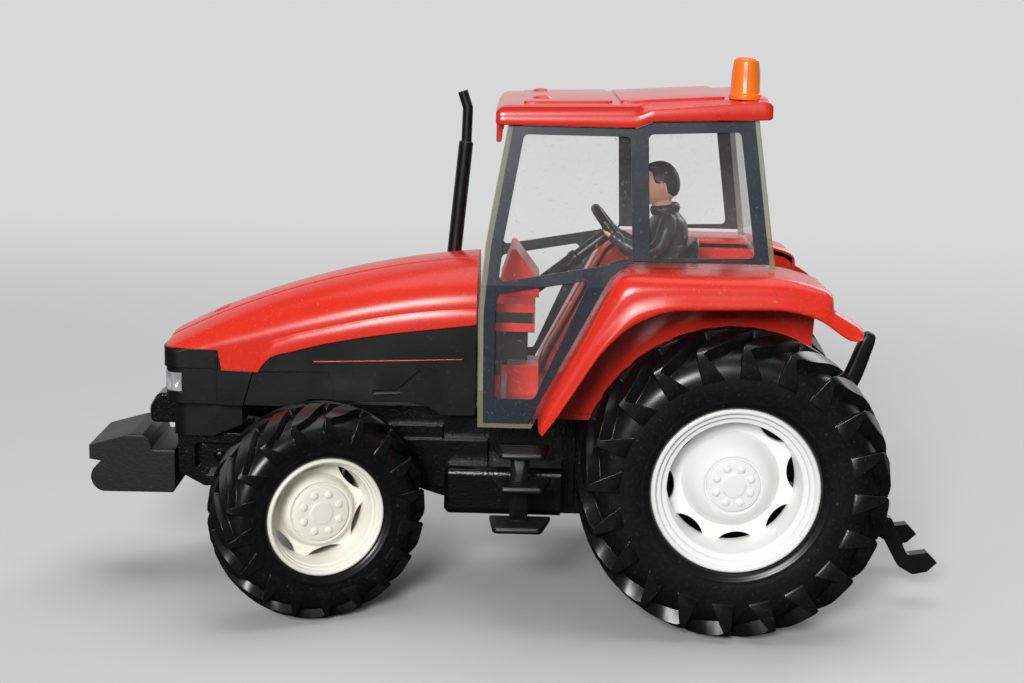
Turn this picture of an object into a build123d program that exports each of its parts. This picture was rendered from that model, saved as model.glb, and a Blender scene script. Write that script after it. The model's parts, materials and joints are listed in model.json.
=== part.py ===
from build123d import *
import os
from math import cos, radians, sin

# Toy farm tractor, millimetres. +X forward, +Y left, +Z up; x = 0 is the middle of the overall
# length and y = 0 the middle of the track. Heights below are from a datum ground_drop above the
# ground; save() lifts each piece by that much, so that z = 0 is the ground under the tyres.

# ---- driving dimensions ----
rear_axle_x = -39.15
wheelbase = 78.1
front_axle_x = rear_axle_x + wheelbase
ground_drop = 1.1
rear_axle_z = 27.0
rear_tyre_r = rear_axle_z + ground_drop
rear_tyre_w = 16.0
rear_rim_r = 15.1
rear_face_y = 34.5  # outer wall of a rear tyre
rear_inner_y = rear_face_y - rear_tyre_w
front_axle_z = 18.9
front_tyre_r = front_axle_z + ground_drop
front_tyre_w = 12.5
front_rim_r = 11.0
kingpin_y = 17.2
wheel_offset = 13.5  # kingpin to the outer wall of a front tyre, along the stub axle
steer_rest = 24.6  # the front wheels stand turned to the left
axle_pin_r = 2.0
stub_r = 1.6
kingpin_r = 1.2
tie_pin_r = 0.8
link_pin_r = 1.2
running_gap = 0.05
seat_gap = 0.1
tie_pin_gap = 0.25

# cab: the clear shell and the frames printed on its sides
cab_wall = 1.0
frame_skin = 0.4
frame_margin = 1.0  # clear border outside the frames
cab_front_x = rear_axle_x + 46.15
cab_rear_x = rear_axle_x - 6.2
cab_base_z = 35.0
cab_belt_z = 56.1
cab_brow_z = 68.5
cab_top_z = 89.6
roof_step = 1.2
roof_slope = 0.035
cab_base_half = 23.0
cab_waist_half = 23.6
cab_waist_z = 61.3
cab_top_half = 20.8
roof_half = 22.6
roof_step_x = rear_axle_x + 19.35
pillar_w = 3.1
bar_h = 2.2
window_r = 0.9

# bonnet, nose and weights, carried ahead of the cab and the front axle
bonnet_rear_x = cab_front_x + 0.75
nose_x = front_axle_x + 27.35
nose_r = 3.5
panel_low_z = 35.3
band_proud = 0.3
weight_front_x = front_axle_x + 42.4

# fenders over the rear wheels
arch_r = rear_tyre_r + 4.9
fender_inner_y = rear_inner_y - 3.5
fender_outer_y = rear_face_y - 2.0
fender_top_z = 64.8
fender_tip_z = 36.0
fender_wall = 1.3
crown_r = 2.4
door_gap = 0.5

# chassis
chassis_half = 7.0
chassis_top_z = 34.8
gearbox_rear_x = rear_axle_x - 12.0
gearbox_low_z = 14.2

# cab interior and figure
floor_z = 37.0
seat_z = 58.0
head_top_z = cab_top_z - 7.6
column_r = 1.1

os.makedirs("parts", exist_ok=True)


def save(piece, name):
    """Lifts a piece from the datum onto the ground and writes it."""
    lifted = piece.part.moved(Location((0, 0, ground_drop)))
    lifted.label = name
    export_step(lifted, f"parts/{name}.step")


def side_plane(y):
    """Sketch plane facing right at the given y: its x is +X and its y is +Z."""
    return Plane(origin=(0, y, 0), x_dir=(1, 0, 0), z_dir=(0, -1, 0))


def front_plane(x):
    """Sketch plane facing forward at the given x: its x is +Y and its y is +Z."""
    return Plane(origin=(x, 0, 0), x_dir=(0, 1, 0), z_dir=(1, 0, 0))


def read_table(table, value):
    """Second column of a table at a value of its first, in straight lines."""
    for (low, start), (high, end) in zip(table, table[1:]):
        if value <= high:
            break
    return start + (end - start) * (value - low) / (high - low)


def outline_solid(corners, reach, radius=0.0):
    """Outline in side view, its corners rounded, carried to both sides by reach."""
    with BuildPart() as volume:
        with BuildSketch(side_plane(0)) as outline:
            with BuildLine():
                Polyline(*corners, close=True)
            make_face()
            if radius:
                fillet(outline.vertices(), radius)
        extrude(amount=reach, both=True)
    return volume.part


def rod(start, end, radius):
    """Round bar with ball ends between two points."""
    start, end = Vector(*start), Vector(*end)
    with BuildPart() as bar:
        with BuildSketch(Plane(origin=start, z_dir=end - start)):
            Circle(radius)
        extrude(amount=(end - start).length)
        for point in (start, end):
            with Locations(point):
                Sphere(radius)
    return bar.part


# ---- wheels: revolved about their own axles ----
def wheel_plane(centre, outward):
    """Sketch plane through a wheel's axis: x runs outward along the axis, y is up."""
    axis = Vector(*outward)
    return Plane(origin=centre, x_dir=axis, z_dir=axis.cross(Vector(0, 0, 1)))


def make_tyre(plane, inner, outer, rim_r, tyre_r):
    """Tyre between two distances along the axis, with rounded shoulders and bulged walls."""
    mid = (inner + outer) / 2
    half = (outer - inner) / 2
    bead = half * 0.80
    tread = half * 0.86
    with BuildPart() as tyre:
        with BuildSketch(plane):
            with BuildLine():
                Polyline((mid - bead, rim_r), (mid + bead, rim_r))
                ThreePointArc(
                    (mid + bead, rim_r),
                    (mid + half, rim_r + (tyre_r - rim_r) * 0.5),
                    (mid + tread, tyre_r * 0.965),
                )
                ThreePointArc((mid + tread, tyre_r * 0.965), (mid, tyre_r), (mid - tread, tyre_r * 0.965))
                ThreePointArc(
                    (mid - tread, tyre_r * 0.965),
                    (mid - half, rim_r + (tyre_r - rim_r) * 0.5),
                    (mid - bead, rim_r),
                )
            make_face()
        revolve(axis=Axis(plane.origin, plane.x_dir))
    return tyre


def make_rim(plane, inner, outer, rim_r, recess, cap_r, bore_r, boss_in, steps, dish, bites, bite, turned):
    """Rim with a stepped flange, a dished disc with lens holes at its edge and a domed hub cap.

    steps: radii of the flange's lip, of its second step and of the barrel at the disc;
    dish: foot radius and depth of the dome; bite: radius and distance of the circles that cut the holes.
    """
    disc = outer - recess
    barrel = rim_r - 1.5
    lip_r, step_r, ring_r = steps
    foot_r, drop = dish
    bite_r, bite_at = bite
    ring = disc - drop
    with BuildPart() as rim:
        with BuildSketch(plane):
            with BuildLine():
                Polyline(
                    (boss_in, bore_r), (disc - 1.6, bore_r), (disc - 1.6, 0), (disc + 0.4, 0),
                    (disc + 0.4, cap_r - 0.6), (disc, cap_r), (disc - 0.2, cap_r + 0.2),
                    (disc - 0.28 * drop, cap_r + 0.50 * (foot_r - cap_r)),
                    (disc - 0.70 * drop, cap_r + 0.86 * (foot_r - cap_r)), (ring, foot_r),
                    (ring - 0.1, ring_r), (outer - 2.0, ring_r + 0.4), (outer - 2.0, step_r),
                    (outer - 1.0, step_r + 0.1), (outer - 1.0, lip_r - 0.1), (outer - 0.3, lip_r),
                    (outer, lip_r + 0.2), (outer, rim_r - 0.2), (outer - 0.5, rim_r - 0.05),
                    (inner, rim_r - 0.05), (inner, barrel), (ring - 1.3, barrel), (ring - 1.3, foot_r - 0.6),
                    (disc - 1.6 - 0.5 * drop, cap_r + 0.50 * (foot_r - cap_r)),
                    (disc - 1.9, bore_r + 2.0), (boss_in, bore_r + 2.0), close=True,
                )
            make_face()
        revolve(axis=Axis(plane.origin, plane.x_dir))
        lens_plane = Plane(origin=plane.origin + plane.x_dir * (ring + 1), x_dir=plane.z_dir, z_dir=plane.x_dir)
        with BuildSketch(lens_plane):
            with PolarLocations(bite_at, bites, start_angle=turned):
                Circle(bite_r)
            Circle(ring_r, mode=Mode.INTERSECT)
        extrude(amount=-5, mode=Mode.SUBTRACT)
    return rim


for side, sign in (("left", 1), ("right", -1)):
    plane = wheel_plane((rear_axle_x, 0, rear_axle_z), (0, sign, 0))
    save(make_tyre(plane, rear_inner_y, rear_face_y, rear_rim_r, rear_tyre_r), f"rear_tyre_{side}")
    save(
        make_rim(plane, rear_inner_y + 1.0, rear_face_y - 1.25, rear_rim_r, 4.2, 5.0,
                 axle_pin_r + running_gap, 22.0,
                 (rear_rim_r - 1.0, rear_rim_r - 2.0, rear_rim_r - 3.4), (8.9, 4.7), 8, (5.2, rear_rim_r + 0.3), 6.7),
        f"rear_rim_{side}",
    )

turn = radians(steer_rest)
for side, sign in (("left", 1), ("right", -1)):
    outward = (-sign * sin(turn), sign * cos(turn), 0)
    pivot = (front_axle_x, sign * kingpin_y, front_axle_z)
    plane = wheel_plane(pivot, outward)
    inner_s = wheel_offset - front_tyre_w
    save(make_tyre(plane, inner_s, wheel_offset, front_rim_r, front_tyre_r), f"front_tyre_{side}")
    save(
        make_rim(plane, inner_s + 0.6, wheel_offset - 0.5, front_rim_r, 3.6, 5.4,
                 stub_r + running_gap, 5.6,
                 (front_rim_r - 0.9, front_rim_r - 1.4, front_rim_r - 2.1), (6.9, 2.4), 6, (8.4, 15.9), 41.0),
        f"front_rim_{side}",
    )

# ---- front axle: beam with two eyes, knuckles with kingpins and stub axles, tie rod ----
eye_r = 2.9
eye_low = front_axle_z - 2.6
eye_high = front_axle_z + 2.6
yoke_t = 1.3
yoke_out = 4.6
arm_len = 5.5
tie_z = front_axle_z - 5.6
tie_t = 1.4
with BuildPart() as front_axle:
    with BuildSketch(Plane.XY.offset(eye_low)):
        with Locations((front_axle_x, 0)):
            Rectangle(5.0, 2 * kingpin_y)
        for sign in (1, -1):
            with Locations((front_axle_x, sign * kingpin_y)):
                Circle(eye_r)
    extrude(amount=eye_high - eye_low)
    with Locations((front_axle_x, 0, front_axle_z + 1.0)):
        Box(9.0, 11.0, 8.5)
    for sign in (1, -1):
        with Locations((front_axle_x, sign * kingpin_y, front_axle_z)):
            Cylinder(kingpin_r + running_gap, 20, mode=Mode.SUBTRACT)
save(front_axle, "front_axle")

for side, sign in (("left", 1), ("right", -1)):
    pivot = Vector(front_axle_x, sign * kingpin_y, 0)
    out = Vector(-sign * sin(turn), sign * cos(turn), 0)
    back = Vector(-cos(turn), -sin(turn), 0)
    flat = Plane(origin=pivot, x_dir=out, z_dir=(0, 0, 1))
    with BuildPart() as knuckle:
        # kingpin through the eye
        with BuildSketch(flat.offset(eye_low - seat_gap - yoke_t)):
            Circle(kingpin_r)
        extrude(amount=eye_high - eye_low + 2 * (seat_gap + yoke_t))
        # upper and lower plates reach outboard round the eye
        for low in (eye_low - seat_gap - yoke_t, eye_high + seat_gap):
            with BuildSketch(flat.offset(low)):
                Circle(2.4)
                with Locations((yoke_out / 2, 0)):
                    Rectangle(yoke_out, 4.2)
            extrude(amount=yoke_t)
        # outboard web that joins the plates
        with BuildSketch(flat.offset(eye_low - seat_gap - yoke_t)):
            with Locations((yoke_out - 0.7, 0)):
                Rectangle(1.4, 4.2)
        extrude(amount=eye_high - eye_low + 2 * (seat_gap + yoke_t))
        # stub axle
        with BuildSketch(Plane(origin=pivot + out * (yoke_out - 0.5) + Vector(0, 0, front_axle_z), z_dir=out)):
            Circle(stub_r)
        extrude(amount=wheel_offset - 0.5 - 3.6 - 1.7 - (yoke_out - 0.5))
        # steering arm runs rearward from the lower plate and carries the tie rod pin
        arm_mid = pivot + back * (arm_len / 2)
        arm_plane = Plane(origin=(arm_mid.X, arm_mid.Y, eye_low - seat_gap - yoke_t), x_dir=back, z_dir=(0, 0, 1))
        with BuildSketch(arm_plane):
            SlotCenterToCenter(arm_len, 2.4)
        extrude(amount=yoke_t)
        arm_end = pivot + back * arm_len
        with BuildSketch(Plane(origin=(arm_end.X, arm_end.Y, tie_z - tie_t / 2 - 0.4), z_dir=(0, 0, 1))):
            Circle(tie_pin_r)
        extrude(amount=eye_low - seat_gap - yoke_t / 2 - (tie_z - tie_t / 2 - 0.4))
    save(knuckle, f"steering_knuckle_{side}")

with BuildPart() as tie_rod:
    rod_x = front_axle_x - arm_len * cos(turn)
    rod_y = -arm_len * sin(turn)
    with BuildSketch(Plane.XY.offset(tie_z - tie_t / 2)):
        with Locations((rod_x, rod_y)):
            Rectangle(1.5, 2 * kingpin_y)
        for sign in (1, -1):
            with Locations((rod_x, rod_y + sign * kingpin_y)):
                Circle(1.6)
        with Locations((rod_x, rod_y + kingpin_y)):
            Circle(tie_pin_r + running_gap, mode=Mode.SUBTRACT)
        with Locations((rod_x, rod_y - kingpin_y)):
            Circle(tie_pin_r + tie_pin_gap, mode=Mode.SUBTRACT)
    extrude(amount=tie_t)
save(tie_rod, "tie_rod")

# ---- rear axle shaft ----
axle_reach = rear_face_y - 1.25 - 4.2 - 1.7
with BuildPart() as rear_axle:
    with Locations(Plane(origin=(rear_axle_x, 0, rear_axle_z), z_dir=(0, 1, 0))):
        Cylinder(axle_pin_r, 2 * axle_reach)
save(rear_axle, "rear_axle")

# ---- chassis: gearbox, engine block, fuel tanks, axle housings and weight carrier ----
nose_low_z = 28.4
carrier_x = nose_x - 1.6
tank_half = 13.0
tank_front_x = cab_front_x + 6.3
tank_rear_x = cab_front_x - 15.8
saddle_half = 4.5
link_pin = Vector(gearbox_rear_x + 2.5, 0, 20.0)
with BuildPart() as chassis:
    with BuildSketch(side_plane(0)):
        with BuildLine():
            Polyline(
                (gearbox_rear_x, gearbox_low_z + 2), (gearbox_rear_x + 3, gearbox_low_z),
                (tank_rear_x, gearbox_low_z), (tank_rear_x + 3, gearbox_low_z + 1.2), (tank_front_x, 17.0),
                (tank_front_x + 8, 19.5), (front_axle_x - saddle_half, 23.0),
                (front_axle_x + saddle_half, 23.0), (front_axle_x + saddle_half + 3, 18.0),
                (carrier_x - 5.0, 17.9), (carrier_x, 20.6), (carrier_x, nose_low_z),
                (front_axle_x + 10, nose_low_z), (front_axle_x + 3, chassis_top_z),
                (gearbox_rear_x, chassis_top_z), close=True,
            )
        make_face()
    extrude(amount=chassis_half, both=True)
    # openings between the carrier plates ahead of the axle
    add(
        outline_solid(
            (
                (front_axle_x + 10.5, 20.5), (carrier_x - 5.5, 20.0), (carrier_x - 3.2, 21.6),
                (carrier_x - 3.2, 26.4), (front_axle_x + 12.5, 26.4),
            ),
            20, 0.8,
        ),
        mode=Mode.SUBTRACT,
    )
    # stepped sides of the engine block
    with Locations((cab_front_x + 12.1, 0, 27.2)):
        Box(10.4, 2 * (chassis_half + 1.4), 8.2)
    with Locations((cab_front_x + 6.3, 0, 24.2)):
        Box(16.0, 2 * (chassis_half + 2.2), 9.2)
    # fuel tanks with rounded long edges
    with BuildPart(mode=Mode.PRIVATE) as tanks:
        with Locations(((tank_front_x + tank_rear_x) / 2, 0, 19.85)):
            Box(tank_front_x - tank_rear_x, 2 * tank_half, 9.3)
        fillet(tanks.edges().filter_by(Axis.X), 1.6)
        chamfer(tanks.edges().filter_by(Axis.Y).group_by(Axis.X)[-1], 0.8)
    add(tanks.part)
    # axle housings with end flanges and a flange on the gearbox
    with Locations(Plane(origin=(rear_axle_x, 0, rear_axle_z), z_dir=(0, 1, 0))):
        Cylinder(4.6, 2 * (rear_inner_y - 1.2))
        Cylinder(6.8, 2 * (chassis_half + 1.2))
    for sign in (1, -1):
        with Locations(Plane(origin=(rear_axle_x, sign * (rear_inner_y - 2.0), rear_axle_z), z_dir=(0, 1, 0))):
            Cylinder(6.2, 1.8)
    with Locations(Plane(origin=(rear_axle_x, 0, rear_axle_z), z_dir=(0, 1, 0))):
        Cylinder(axle_pin_r, 80, mode=Mode.SUBTRACT)
    # joints of the castings
    for x in (rear_axle_x + 14.0, tank_rear_x - 2.0):
        with Locations((x, 0, 24.6)):
            Box(1.2, 2 * (chassis_half + 0.7), 17.4)
    # bore for the cross pin of the lower links
    with Locations(Plane(origin=link_pin, z_dir=(0, 1, 0))):
        Cylinder(link_pin_r + running_gap, 80, mode=Mode.SUBTRACT)
    # saddle that sits on the front axle
    with Locations((front_axle_x, 0, front_axle_z + 1.0)):
        Box(9.0, 11.0, 8.5, mode=Mode.SUBTRACT)
save(chassis, "chassis")

# ---- bonnet envelope: lofted sections, then split into red bonnet and black side panels ----
# share of the length, z at the edge of the flat top, half width of the flat, half width, drop
bonnet_sections = (
    (0.0, 63.4, 4.6, 14.0, 8.4),
    (0.448, 59.0, 4.5, 13.6, 7.8),
    (0.740, 53.6, 4.4, 12.8, 6.6),
    (0.903, 49.5, 4.2, 12.2, 4.4),
    (1.0, 46.6, 4.0, 11.7, 2.2),
)


def at(share, z):
    """Point in side view at a share of the bonnet's length."""
    return bonnet_rear_x + share * (nose_x - bonnet_rear_x), z


def bonnet_solid(skin):
    """Bonnet and side panels in one, with sides, top and nose moved out by skin."""
    low = panel_low_z - 2.0
    with BuildPart() as envelope:
        for share, edge_z, flat_half, half, drop in bonnet_sections:
            half += skin
            edge_z += skin
            with BuildSketch(front_plane(at(share, 0)[0] + (skin if share == 1.0 else 0))):
                with BuildLine():
                    Line((-half, low), (half, low))
                    Line((half, low), (half, edge_z - drop))
                    ThreePointArc(
                        (half, edge_z - drop),
                        (flat_half + (half - flat_half) * 0.80, edge_z - drop * 0.36),
                        (flat_half, edge_z),
                    )
                    ThreePointArc((flat_half, edge_z), (0, edge_z + 0.3), (-flat_half, edge_z))
                    ThreePointArc(
                        (-flat_half, edge_z),
                        (-flat_half - (half - flat_half) * 0.80, edge_z - drop * 0.36),
                        (-half, edge_z - drop),
                    )
                    Line((-half, edge_z - drop), (-half, low))
                make_face()
        loft()
        # round the nose in plan
        with BuildSketch(Plane.XY) as plan:
            with Locations(((nose_x + skin + bonnet_rear_x) / 2, 0)):
                Rectangle(nose_x + skin - bonnet_rear_x, 2 * (11.9 + skin))
            fillet(plan.vertices().group_by(Axis.X)[-1], nose_r)
            with Locations(((nose_x - 10 + bonnet_rear_x) / 2, 0)):
                Rectangle(nose_x - 10 - bonnet_rear_x, 60)
        extrude(amount=100, mode=Mode.INTERSECT)
    return envelope.part


def red_edge():
    """Line between the red bonnet and the black side panels, nose to rear."""
    Polyline(at(1.1, 45.9), at(0.824, 45.8), at(0.812, 42.0), at(0.694, 41.9), at(0.684, 42.9))
    ThreePointArc(at(0.684, 42.9), at(0.643, 45.0), at(0.595, 46.0))
    ThreePointArc(at(0.595, 46.0), at(0.245, 50.8), at(-0.02, 52.8))


with BuildPart() as red_region:
    with BuildSketch(side_plane(0)):
        with BuildLine():
            red_edge()
            Polyline(at(-0.02, 52.8), at(-0.02, 80), at(1.1, 80), at(1.1, 45.9))
        make_face()
    extrude(amount=30, both=True)

black_region = outline_solid(
    (
        at(1.1, 46.5), at(1.1, panel_low_z), at(0.585, panel_low_z), at(0.53, 36.9), at(0.206, 37.1),
        at(0.144, 36.2), at(0.108, chassis_top_z), at(-0.02, chassis_top_z), at(-0.02, 60.0), at(0.8, 60.0),
    ),
    30,
)
crease = (
    (0.712, 40.0), (0.708, 42.9), (0.681, 45.8), (0.650, 47.7), (0.553, 49.9), (0.416, 52.3), (0.211, 54.3),
    (-0.02, 55.3), (-0.02, 40.0),
)
headlight = outline_solid(
    (at(0.942, 37.4), at(1.05, 37.0), at(1.05, 40.9), at(0.942, 41.2)), 30,
)
exhaust_y = -10.0
exhaust_r = 1.4
exhaust_base = Plane(origin=(*at(0.097, 0)[:1], exhaust_y, 58.0), z_dir=(-0.09, 0, 1))
with BuildPart() as bonnet:
    add(bonnet_solid(0))
    add(bonnet_solid(band_proud) & outline_solid([at(*point) for point in crease], 30))
    add(red_region.part, mode=Mode.INTERSECT)
    with BuildSketch(exhaust_base):
        Circle(exhaust_r + seat_gap)
    extrude(amount=10, mode=Mode.SUBTRACT)
save(bonnet, "bonnet")

# side panels: lip under the nose, sunk bay over the wheel, finger groove and grille slots
sunk_bay = (at(0.712, 41.9), at(0.471, 42.4), at(0.452, 39.8), at(0.452, 34.0), at(0.750, 34.0))
finger_groove = (
    at(0.325, 38.5), at(0.240, 38.9), at(0.172, 42.7), at(0.178, 43.3), at(0.247, 39.5), at(0.325, 39.1),
)
lip = (at(0.824, 42.1), at(1.1, 42.1), at(1.1, 45.9), at(0.824, 45.8))
with BuildPart() as side_panels:
    add(bonnet_solid(0))
    add(bonnet_solid(band_proud) & outline_solid(lip, 30))
    add(black_region, mode=Mode.INTERSECT)
    add(red_region.part, mode=Mode.SUBTRACT)
    add(outline_solid(sunk_bay, 30) - bonnet_solid(-0.6), mode=Mode.SUBTRACT)
    add(outline_solid(finger_groove, 30) - bonnet_solid(-0.4), mode=Mode.SUBTRACT)
    for level in range(5):
        with Locations((nose_x, 0, 36.6 + level * 1.2)):
            Box(1.2, 9.0, 0.6, mode=Mode.SUBTRACT)
    for sign in (1, -1):
        with BuildPart(mode=Mode.PRIVATE) as pocket:
            add(headlight)
            with Locations((nose_x, sign * (5.2 + 20), 40)):
                Box(60, 40, 40, mode=Mode.INTERSECT)
        add(pocket.part, mode=Mode.SUBTRACT)
save(side_panels, "side_panels")

with BuildPart() as headlights:
    for sign in (1, -1):
        with BuildPart(mode=Mode.PRIVATE) as lamp:
            add(bonnet_solid(0.15))
            add(headlight, mode=Mode.INTERSECT)
            with Locations((nose_x, sign * (5.2 + 20), 40)):
                Box(60, 40, 40, mode=Mode.INTERSECT)
            # the bar between the two cells
            with Locations((nose_x + 0.1, sign * 8.6, 39)):
                Box(1.0, 0.4, 10, mode=Mode.SUBTRACT)
        add(lamp.part)
save(headlights, "headlights")

# ---- lower nose and front weights ----
with BuildPart() as nose:
    with BuildSketch(Plane.XY.offset(nose_low_z)) as plan:
        with Locations(((front_axle_x + nose_x + 12.0) / 2, 0)):
            Rectangle(nose_x - 1.0 - front_axle_x - 13.0, 18.6)
        fillet(plan.vertices().group_by(Axis.X)[-1], nose_r - 0.6)
    extrude(amount=panel_low_z - nose_low_z)
    chamfer(nose.edges().filter_by(Axis.Y).group_by(Axis.Z)[0].sort_by(Axis.X)[0], 2.4, 5.6)
save(nose, "nose_housing")

weight_rear_x = nose_x - 1.3
with BuildPart() as weights:
    with BuildSketch(side_plane(0)):
        with BuildLine():
            Polyline(
                (weight_rear_x + 4.4, 25.4), (weight_rear_x + 5.0, 27.3), (weight_rear_x + 6.2, 28.2),
                (weight_rear_x + 8.4, 28.2), (weight_front_x, 25.9), (weight_front_x, 23.2),
                (weight_front_x - 2.4, 22.8), (weight_front_x - 1.0, 21.6),
            )
            ThreePointArc(
                (weight_front_x - 1.0, 21.6), (weight_front_x - 0.5, 18.4), (weight_front_x - 2.6, 16.8),
            )
            Polyline(
                (weight_front_x - 2.6, 16.8), (weight_rear_x + 0.4, 16.9), (weight_rear_x, 17.6),
                (weight_rear_x, 25.4), (weight_rear_x + 4.4, 25.4),
            )
        make_face()
    extrude(amount=8.8, both=True)
    fillet(weights.edges().filter_by(Axis.X), 0.5)
save(weights, "front_weights")

# ---- exhaust on the right of the bonnet: silencer, pipe and slanted outlet ----
pipe_r = 1.0
silencer_len = 26.0
with BuildPart() as exhaust:
    with BuildSketch(exhaust_base):
        Circle(exhaust_r)
    extrude(amount=silencer_len)
    chamfer(exhaust.faces().sort_by(Axis.Z)[-1].edges(), 0.3)
    silencer_top = exhaust_base.origin + exhaust_base.z_dir * silencer_len
    pipe_top = silencer_top + Vector(-0.2, 0, 6.4)
    with BuildLine() as pipe_line:
        FilletPolyline(silencer_top - Vector(0, 0, 1.0), pipe_top, pipe_top + Vector(1.05, 0, 3.2), radius=2.0)
    with BuildSketch(Plane(origin=pipe_line.line @ 0, z_dir=pipe_line.line % 0)):
        Circle(pipe_r)
    sweep(path=pipe_line.line)
save(exhaust, "exhaust")

# ---- cab: clear shell, printed frames, roof, beacon ----
# z against the x of the front wall, the rear wall and the edge along the fender
front_line = (
    (cab_base_z, cab_front_x), (cab_belt_z, cab_front_x + 0.3), (cab_brow_z, cab_front_x - 0.8),
    (cab_top_z, cab_front_x - 4.4),
)
rear_line = ((fender_top_z, cab_rear_x), (cab_top_z, cab_rear_x + 3.6))
fender_flat_x = rear_axle_x + 18.35
fender_line = ((fender_tip_z, rear_axle_x + 35.45), (fender_top_z - 3.2, rear_axle_x + 22.25))


def roof_under(x):
    """Height of the roof's underside: level in front, stepped up and rising behind."""
    if x >= roof_step_x:
        return cab_top_z
    rise = roof_step * min(1.0, (roof_step_x - x) / 3.0)
    return cab_top_z + rise + roof_slope * max(0.0, roof_step_x - 3.0 - x)


def door_edge(z):
    """Rear edge of the cab's side beside the fender."""
    return read_table(fender_line, z) + door_gap


def cab_side(lift):
    """Cab outline in side view, its top raised by lift."""
    rear_top_x = read_table(rear_line, cab_top_z + 1.8)
    tops = (rear_top_x, roof_step_x - 3.0, roof_step_x)
    return (
        *((x, z) for z, x in front_line[:-1]),
        (front_line[-1][1], cab_top_z + lift),
        *((x, roof_under(x) + lift) for x in reversed(tops)),
        (cab_rear_x, fender_top_z + 0.4),
        (fender_flat_x + 0.3, fender_top_z + 0.4),
        (door_edge(fender_top_z - 2.2), fender_top_z - 2.2),
        (door_edge(cab_base_z), cab_base_z),
    )


def cab_solid(skin):
    """Cab volume with every face moved out by skin, or in when it is negative."""
    with BuildPart() as volume:
        with BuildSketch(side_plane(0)):
            with BuildLine():
                Polyline(*cab_side(0), close=True)
            make_face()
            if skin:
                offset(amount=skin, kind=Kind.INTERSECTION)
        extrude(amount=40, both=True)
        with BuildSketch(front_plane(0)):
            with BuildLine():
                Polyline(
                    (cab_base_half + skin, cab_base_z - 5), (cab_waist_half + skin, cab_waist_z),
                    (cab_top_half + skin, cab_top_z + 4), (-cab_top_half - skin, cab_top_z + 4),
                    (-cab_waist_half - skin, cab_waist_z), (-cab_base_half - skin, cab_base_z - 5), close=True,
                )
            make_face()
        extrude(amount=100, both=True, mode=Mode.INTERSECT)
    return volume.part


with BuildPart() as cab_glazing:
    add(cab_solid(0))
    add(cab_solid(-cab_wall), mode=Mode.SUBTRACT)
    add(cab_solid(-cab_wall).moved(Location((0, 0, -3.0))), mode=Mode.SUBTRACT)
save(cab_glazing, "cab_glazing")

# windows: upper door, rear side and lower door, from the pillars, the waist bar and the walls
post_w = 3.05
rear_post_w = 3.45
window_top_z = cab_top_z - 1.6
sill_z = fender_top_z + 1.8
panel_top_z = 40.5


def bar_top(x):
    return cab_waist_z - 0.18 * (x - cab_front_x)


def post_edge(z):
    return read_table(front_line, z) - post_w


def pillar_edge(z):
    return roof_step_x + 0.9 - 0.044 * (cab_top_z - z)


bar_front = bar_top(cab_front_x - post_w)
upper_door = (
    (post_edge(window_top_z), window_top_z), (post_edge(cab_brow_z), cab_brow_z),
    (post_edge(bar_front), bar_front), (pillar_edge(66.0), bar_top(pillar_edge(66.0))),
    (pillar_edge(window_top_z), window_top_z),
)
rear_side = (
    (pillar_edge(window_top_z) - pillar_w, window_top_z + 0.5),
    (read_table(rear_line, cab_top_z) + rear_post_w, roof_under(cab_rear_x + 7) - 2.1),
    (read_table(rear_line, sill_z) + rear_post_w, sill_z + 0.6), (pillar_edge(sill_z) - pillar_w, sill_z),
)
lower_door = (
    (post_edge(bar_front), bar_front - bar_h), (post_edge(cab_belt_z), cab_belt_z),
    (post_edge(panel_top_z), panel_top_z), (door_edge(panel_top_z) + 2.4, panel_top_z),
    (door_edge(62.0) + 4.0, bar_top(door_edge(62.0) + 4.0) - bar_h),
)
with BuildPart() as cab_frames:
    add(cab_solid(frame_skin))
    add(cab_solid(0), mode=Mode.SUBTRACT)
    with BuildSketch(side_plane(0)):
        with BuildLine():
            Polyline(*cab_side(frame_margin - 0.1), close=True)
        make_face()
        offset(amount=-frame_margin, kind=Kind.INTERSECTION, mode=Mode.REPLACE)
    extrude(amount=40, both=True, mode=Mode.INTERSECT)
    for corners in (upper_door, rear_side, lower_door):
        add(outline_solid(corners, 40, window_r), mode=Mode.SUBTRACT)
save(cab_frames, "cab_frames")

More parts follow.
